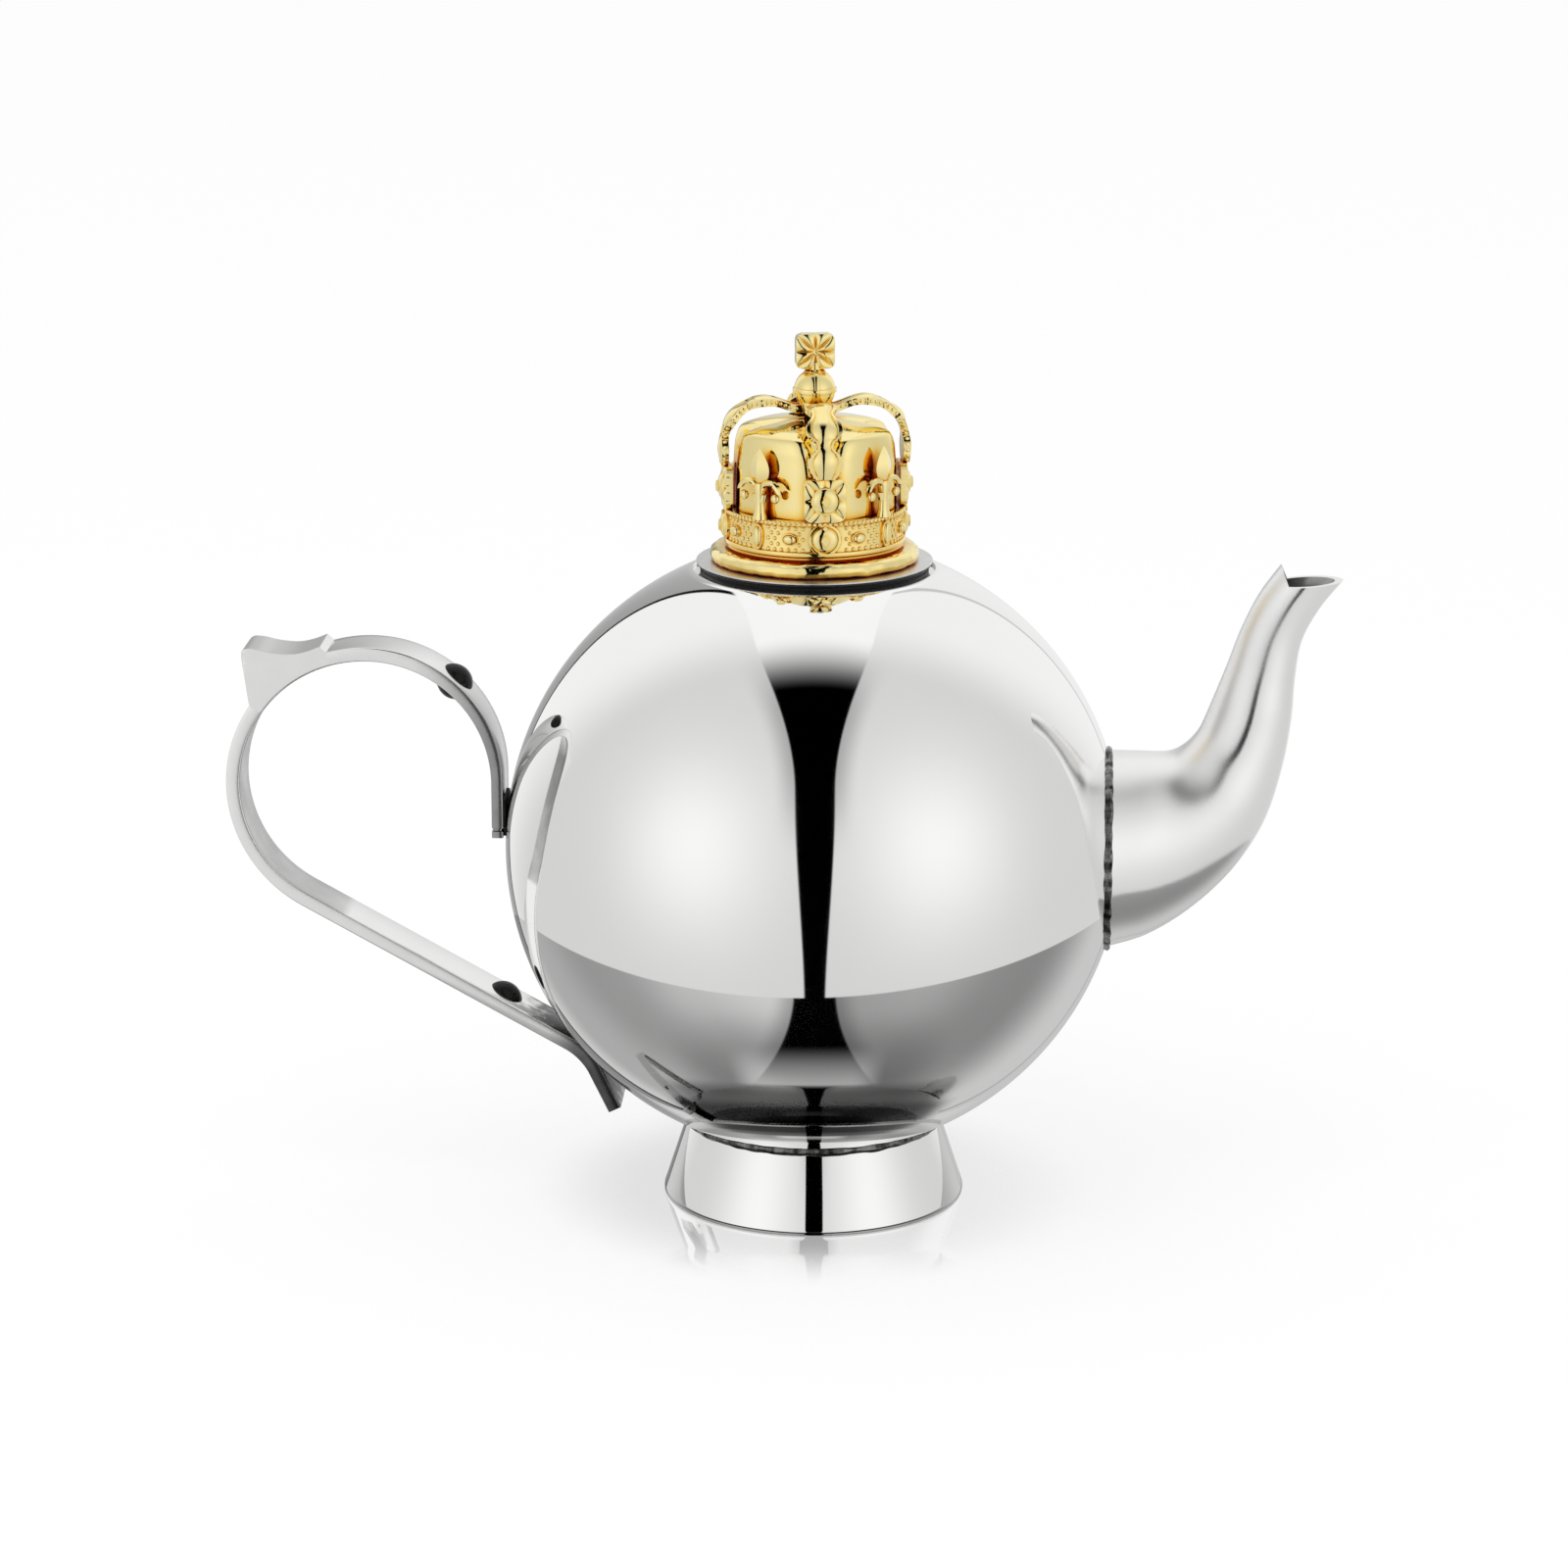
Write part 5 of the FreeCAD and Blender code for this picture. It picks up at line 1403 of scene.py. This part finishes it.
def makeFloor():
    deselectAll()
    bpy.ops.mesh.primitive_plane_add(size=studio["floorSize"])
    floor = openNew("floor")
    bpy.ops.object.mode_set(mode="OBJECT")
    material, paint, shader = newMaterial("floorWhite")
    tree = material.node_tree
    x, y = placeParts(paint, "XY")

    def away(centre):
        across, ahead = x - centre[0], y - centre[1]
        return (across * across + ahead * ahead) ** 0.5

    radius, edge = studio["tableRadius"], studio["tableEdge"]
    onTable = 1 - away(studio["tableCentre"]).eased(radius - edge, radius + edge)
    speckle = paint.noise(40, 3.0)
    feed(paint, shader, Base_Color=paint.mixed(speckle, (1, 1, 1, 1), (0.985, 0.985, 0.985, 1)),
         Roughness=0.6 + 0.1 * speckle, Specular_IOR_Level=0.0)
    plain = Shade(tree, shader.outputs[0])
    glow = paint.node("ShaderNodeEmission", None, {"Color": (1, 1, 1, 1), "Strength": 1.0})
    pale = paint.node("ShaderNodeMixShader", None, {0: studio["floorGlow"], 1: plain, 2: glow})
    polish = paint.node("ShaderNodeBsdfGlossy", None,
                        {"Color": (1, 1, 1, 1), "Roughness": studio["glossRough"]})
    reach = away((0, 0))
    nearFoot = 1 - reach.eased(*studio["glossReach"])
    pale = paint.node("ShaderNodeMixShader", None, {0: studio["floorGloss"] * nearFoot, 1: pale, 2: polish})
    # painted light and shade: the table's grey as the metal shows it is made lighter or darker by bearing
    # round the pot, left and right unlike
    ahead = (0 - y) / reach
    bearing = paint.sums("ARCTAN2", paint.sums("ABSOLUTE", x), 0 - y) + reach ** -1 * studio["bearingShift"]

    def stepped(value, changes):
        for low, high, change in changes:
            value = value + change * turnedTo(bearing, low, high)
        return value

    tableGreyAndLight = between(stepped(studio["shineLeft"], studio["leftSteps"]),
                    stepped(studio["shineRight"], studio["rightSteps"]), x.eased(-0.02, 0.02))
    # painted shade on the table under the ball, darker towards the foot
    for amount, near, far, aside, straight in studio["shadeBeforeFoot"]:
        tableGreyAndLight = tableGreyAndLight * (1 - amount * (1 - reach.eased(near, far)) * ahead.eased(aside, straight))
    onRim = 1 - reach.eased(*studio["rimReach"])  # painted highlight: a pale ring under the foot's edge
    tableGreyAndLight = between(tableGreyAndLight, studio["rimHighlight"], onRim)
    grey = paint.node("ShaderNodeCombineColor", None, {0: tableGreyAndLight, 1: tableGreyAndLight, 2: tableGreyAndLight})
    table = paint.node("ShaderNodeBsdfGlossy", None, {"Color": grey, "Roughness": studio["tableRough"]})
    # painted light: a glow on the table in a band before the foot, added as emission
    glowBeforeFoot = reach.eased(*studio["glowFrom"]) * (1 - reach.eased(*studio["glowTo"]))
    glowBeforeFoot = glowBeforeFoot * ahead.eased(*studio["glowAhead"])  # the painted glow is only before the foot
    paintedGlow = paint.node("ShaderNodeEmission", None, {"Color": (1, 1, 1, 1), "Strength": studio["glowBeforeFoot"] * glowBeforeFoot})
    table = paint.node("ShaderNodeAddShader", None, {0: table, 1: paintedGlow})
    inMetal = paint.node(lightPath, output="Is Glossy Ray")
    clear = paint.node("ShaderNodeBsdfTransparent")
    mirrored = paint.node("ShaderNodeMixShader", None, {0: onTable, 1: clear, 2: table})
    both = paint.node("ShaderNodeMixShader", None, {0: inMetal, 1: pale, 2: mirrored})
    output = next(node for node in tree.nodes if node.bl_idname == "ShaderNodeOutputMaterial")
    tree.links.new(both.socket, output.inputs["Surface"])
    floor.data.materials.append(material)
    return floor


def makeTent():
    deselectAll()
    bpy.ops.mesh.primitive_uv_sphere_add(segments=64, ring_count=32, radius=studio["tentRadius"],
                                         location=(0, 0, ball["centreHeight"] * mm))
    tent = openNew("lightTent")
    closePiece(tent)
    material = bpy.data.materials.new("tentCloth")
    tree = emptyTree(material)
    paint = Shade(tree)
    place = paint.node("ShaderNodeTexCoord", output="Object")
    place = paint.node("ShaderNodeVectorMath", {"operation": "SUBTRACT"},
                       {0: place, 1: (0, 0, ball["centreHeight"] * mm)})
    way = paint.node("ShaderNodeVectorMath", {"operation": "NORMALIZE"}, {0: place})
    toward = Vector((-cameraFacts["ahead"][0], -cameraFacts["ahead"][1], 0)).normalized()
    right = Vector((-toward.y, toward.x, 0))

    def along(axis):
        return paint.node("ShaderNodeVectorMath", {"operation": "DOT_PRODUCT"}, {0: way, 1: axis}, "Value")

    front, side, up = along(toward), along(right), along(Vector((0, 0, 1)))
    sideways = paint.sums("ABSOLUTE", side)
    arc = paint.sums("ARCTAN2", up, front)  # 0 level towards the camera, a quarter turn overhead
    # two bright patches, left and right of the camera, on greyer panels
    rise = math.radians(studio["patchRise"])
    patch = Vector((studio["patchSide"], studio["patchAhead"] * math.cos(rise),
                    studio["patchAhead"] * math.sin(rise)))
    near = paint.sums("MINIMUM", sideways * patch.x + front * patch.y + up * patch.z, 1.0)
    angle = paint.sums("ARCCOSINE", near) / math.radians(studio["patchSpread"])
    glow = paint.sums("EXPONENT", 0 - angle * angle)
    panel = between(studio["panelDim"], studio["panelBright"], glow)
    rear = (up * 0.5 - front * 0.85).eased(0.36, 0.76)
    level = between(panel, studio["backBright"], rear)
    # the back wall stands between two upright seams, the left one dark
    behind = 0 - front
    lean = sideways - behind * studio["seamLean"]
    toBack = behind.eased(0.05, 0.1)
    onLeft = 1 - side.eased(-0.02, 0.02)
    wall = between(studio["rearLeft"], studio["rearRight"], side.eased(-0.40, 0.25))
    level = between(level, wall, (1 - lean.eased(-0.004, 0.004)) * toBack)
    seam = 1 - paint.sums("ABSOLUTE", lean).eased(0.008, 0.016)
    level = level * (1 - seam * toBack * (0.35 + 0.65 * onLeft))
    # the slit widens upwards between shaded hems, and overhead it opens into the white top of the tent
    width = between(studio["slitLow"], studio["slitNarrow"], turnedTo(arc, -50, 30))
    width = width + (studio["slitWide"] - studio["slitNarrow"]) * turnedTo(arc, 35, 100)
    hem = (1 - (sideways - width).eased(0.0, studio["hemWidth"])) * turnedTo(arc, 8, 45)
    hem = hem * (1 - turnedTo(arc, 60, 95))
    level = level * (1 - studio["slitShade"] * hem)
    inSlit = (1 - (sideways - width).eased(-0.006, 0.006)) * front.eased(-0.85, -0.75)
    overhead = turnedTo(arc, 73, 98)
    level = between(level, overhead * studio["topBright"], inSlit)
    glowing = paint.node("ShaderNodeCombineColor", None, {0: level, 1: level, 2: level})
    emission = paint.node("ShaderNodeEmission", None, {"Color": glowing, "Strength": 1.0})
    output = tree.nodes.new("ShaderNodeOutputMaterial")
    tree.links.new(emission.socket, output.inputs["Surface"])
    tent.data.materials.append(material)
    tent.visible_camera = False
    tent.visible_diffuse = False
    tent.visible_shadow = False
    tent.visible_transmission = False
    tent.visible_volume_scatter = False


makeFloor()
makeTent()

lampFacts = {"place": (-0.3, -0.6, 1.2), "size": 0.8, "power": 3.0}
lamp = bpy.data.objects.new("softLamp", bpy.data.lights.new("softLamp", "AREA"))
bpy.context.scene.collection.objects.link(lamp)
lamp.location = lampFacts["place"]
lamp.rotation_euler = (Vector((0, 0, 0.05)) - lamp.location).to_track_quat("-Z", "Y").to_euler()
lamp.data.size = lampFacts["size"]
lamp.data.energy = lampFacts["power"]
lamp.visible_glossy = False
print("studio ready")
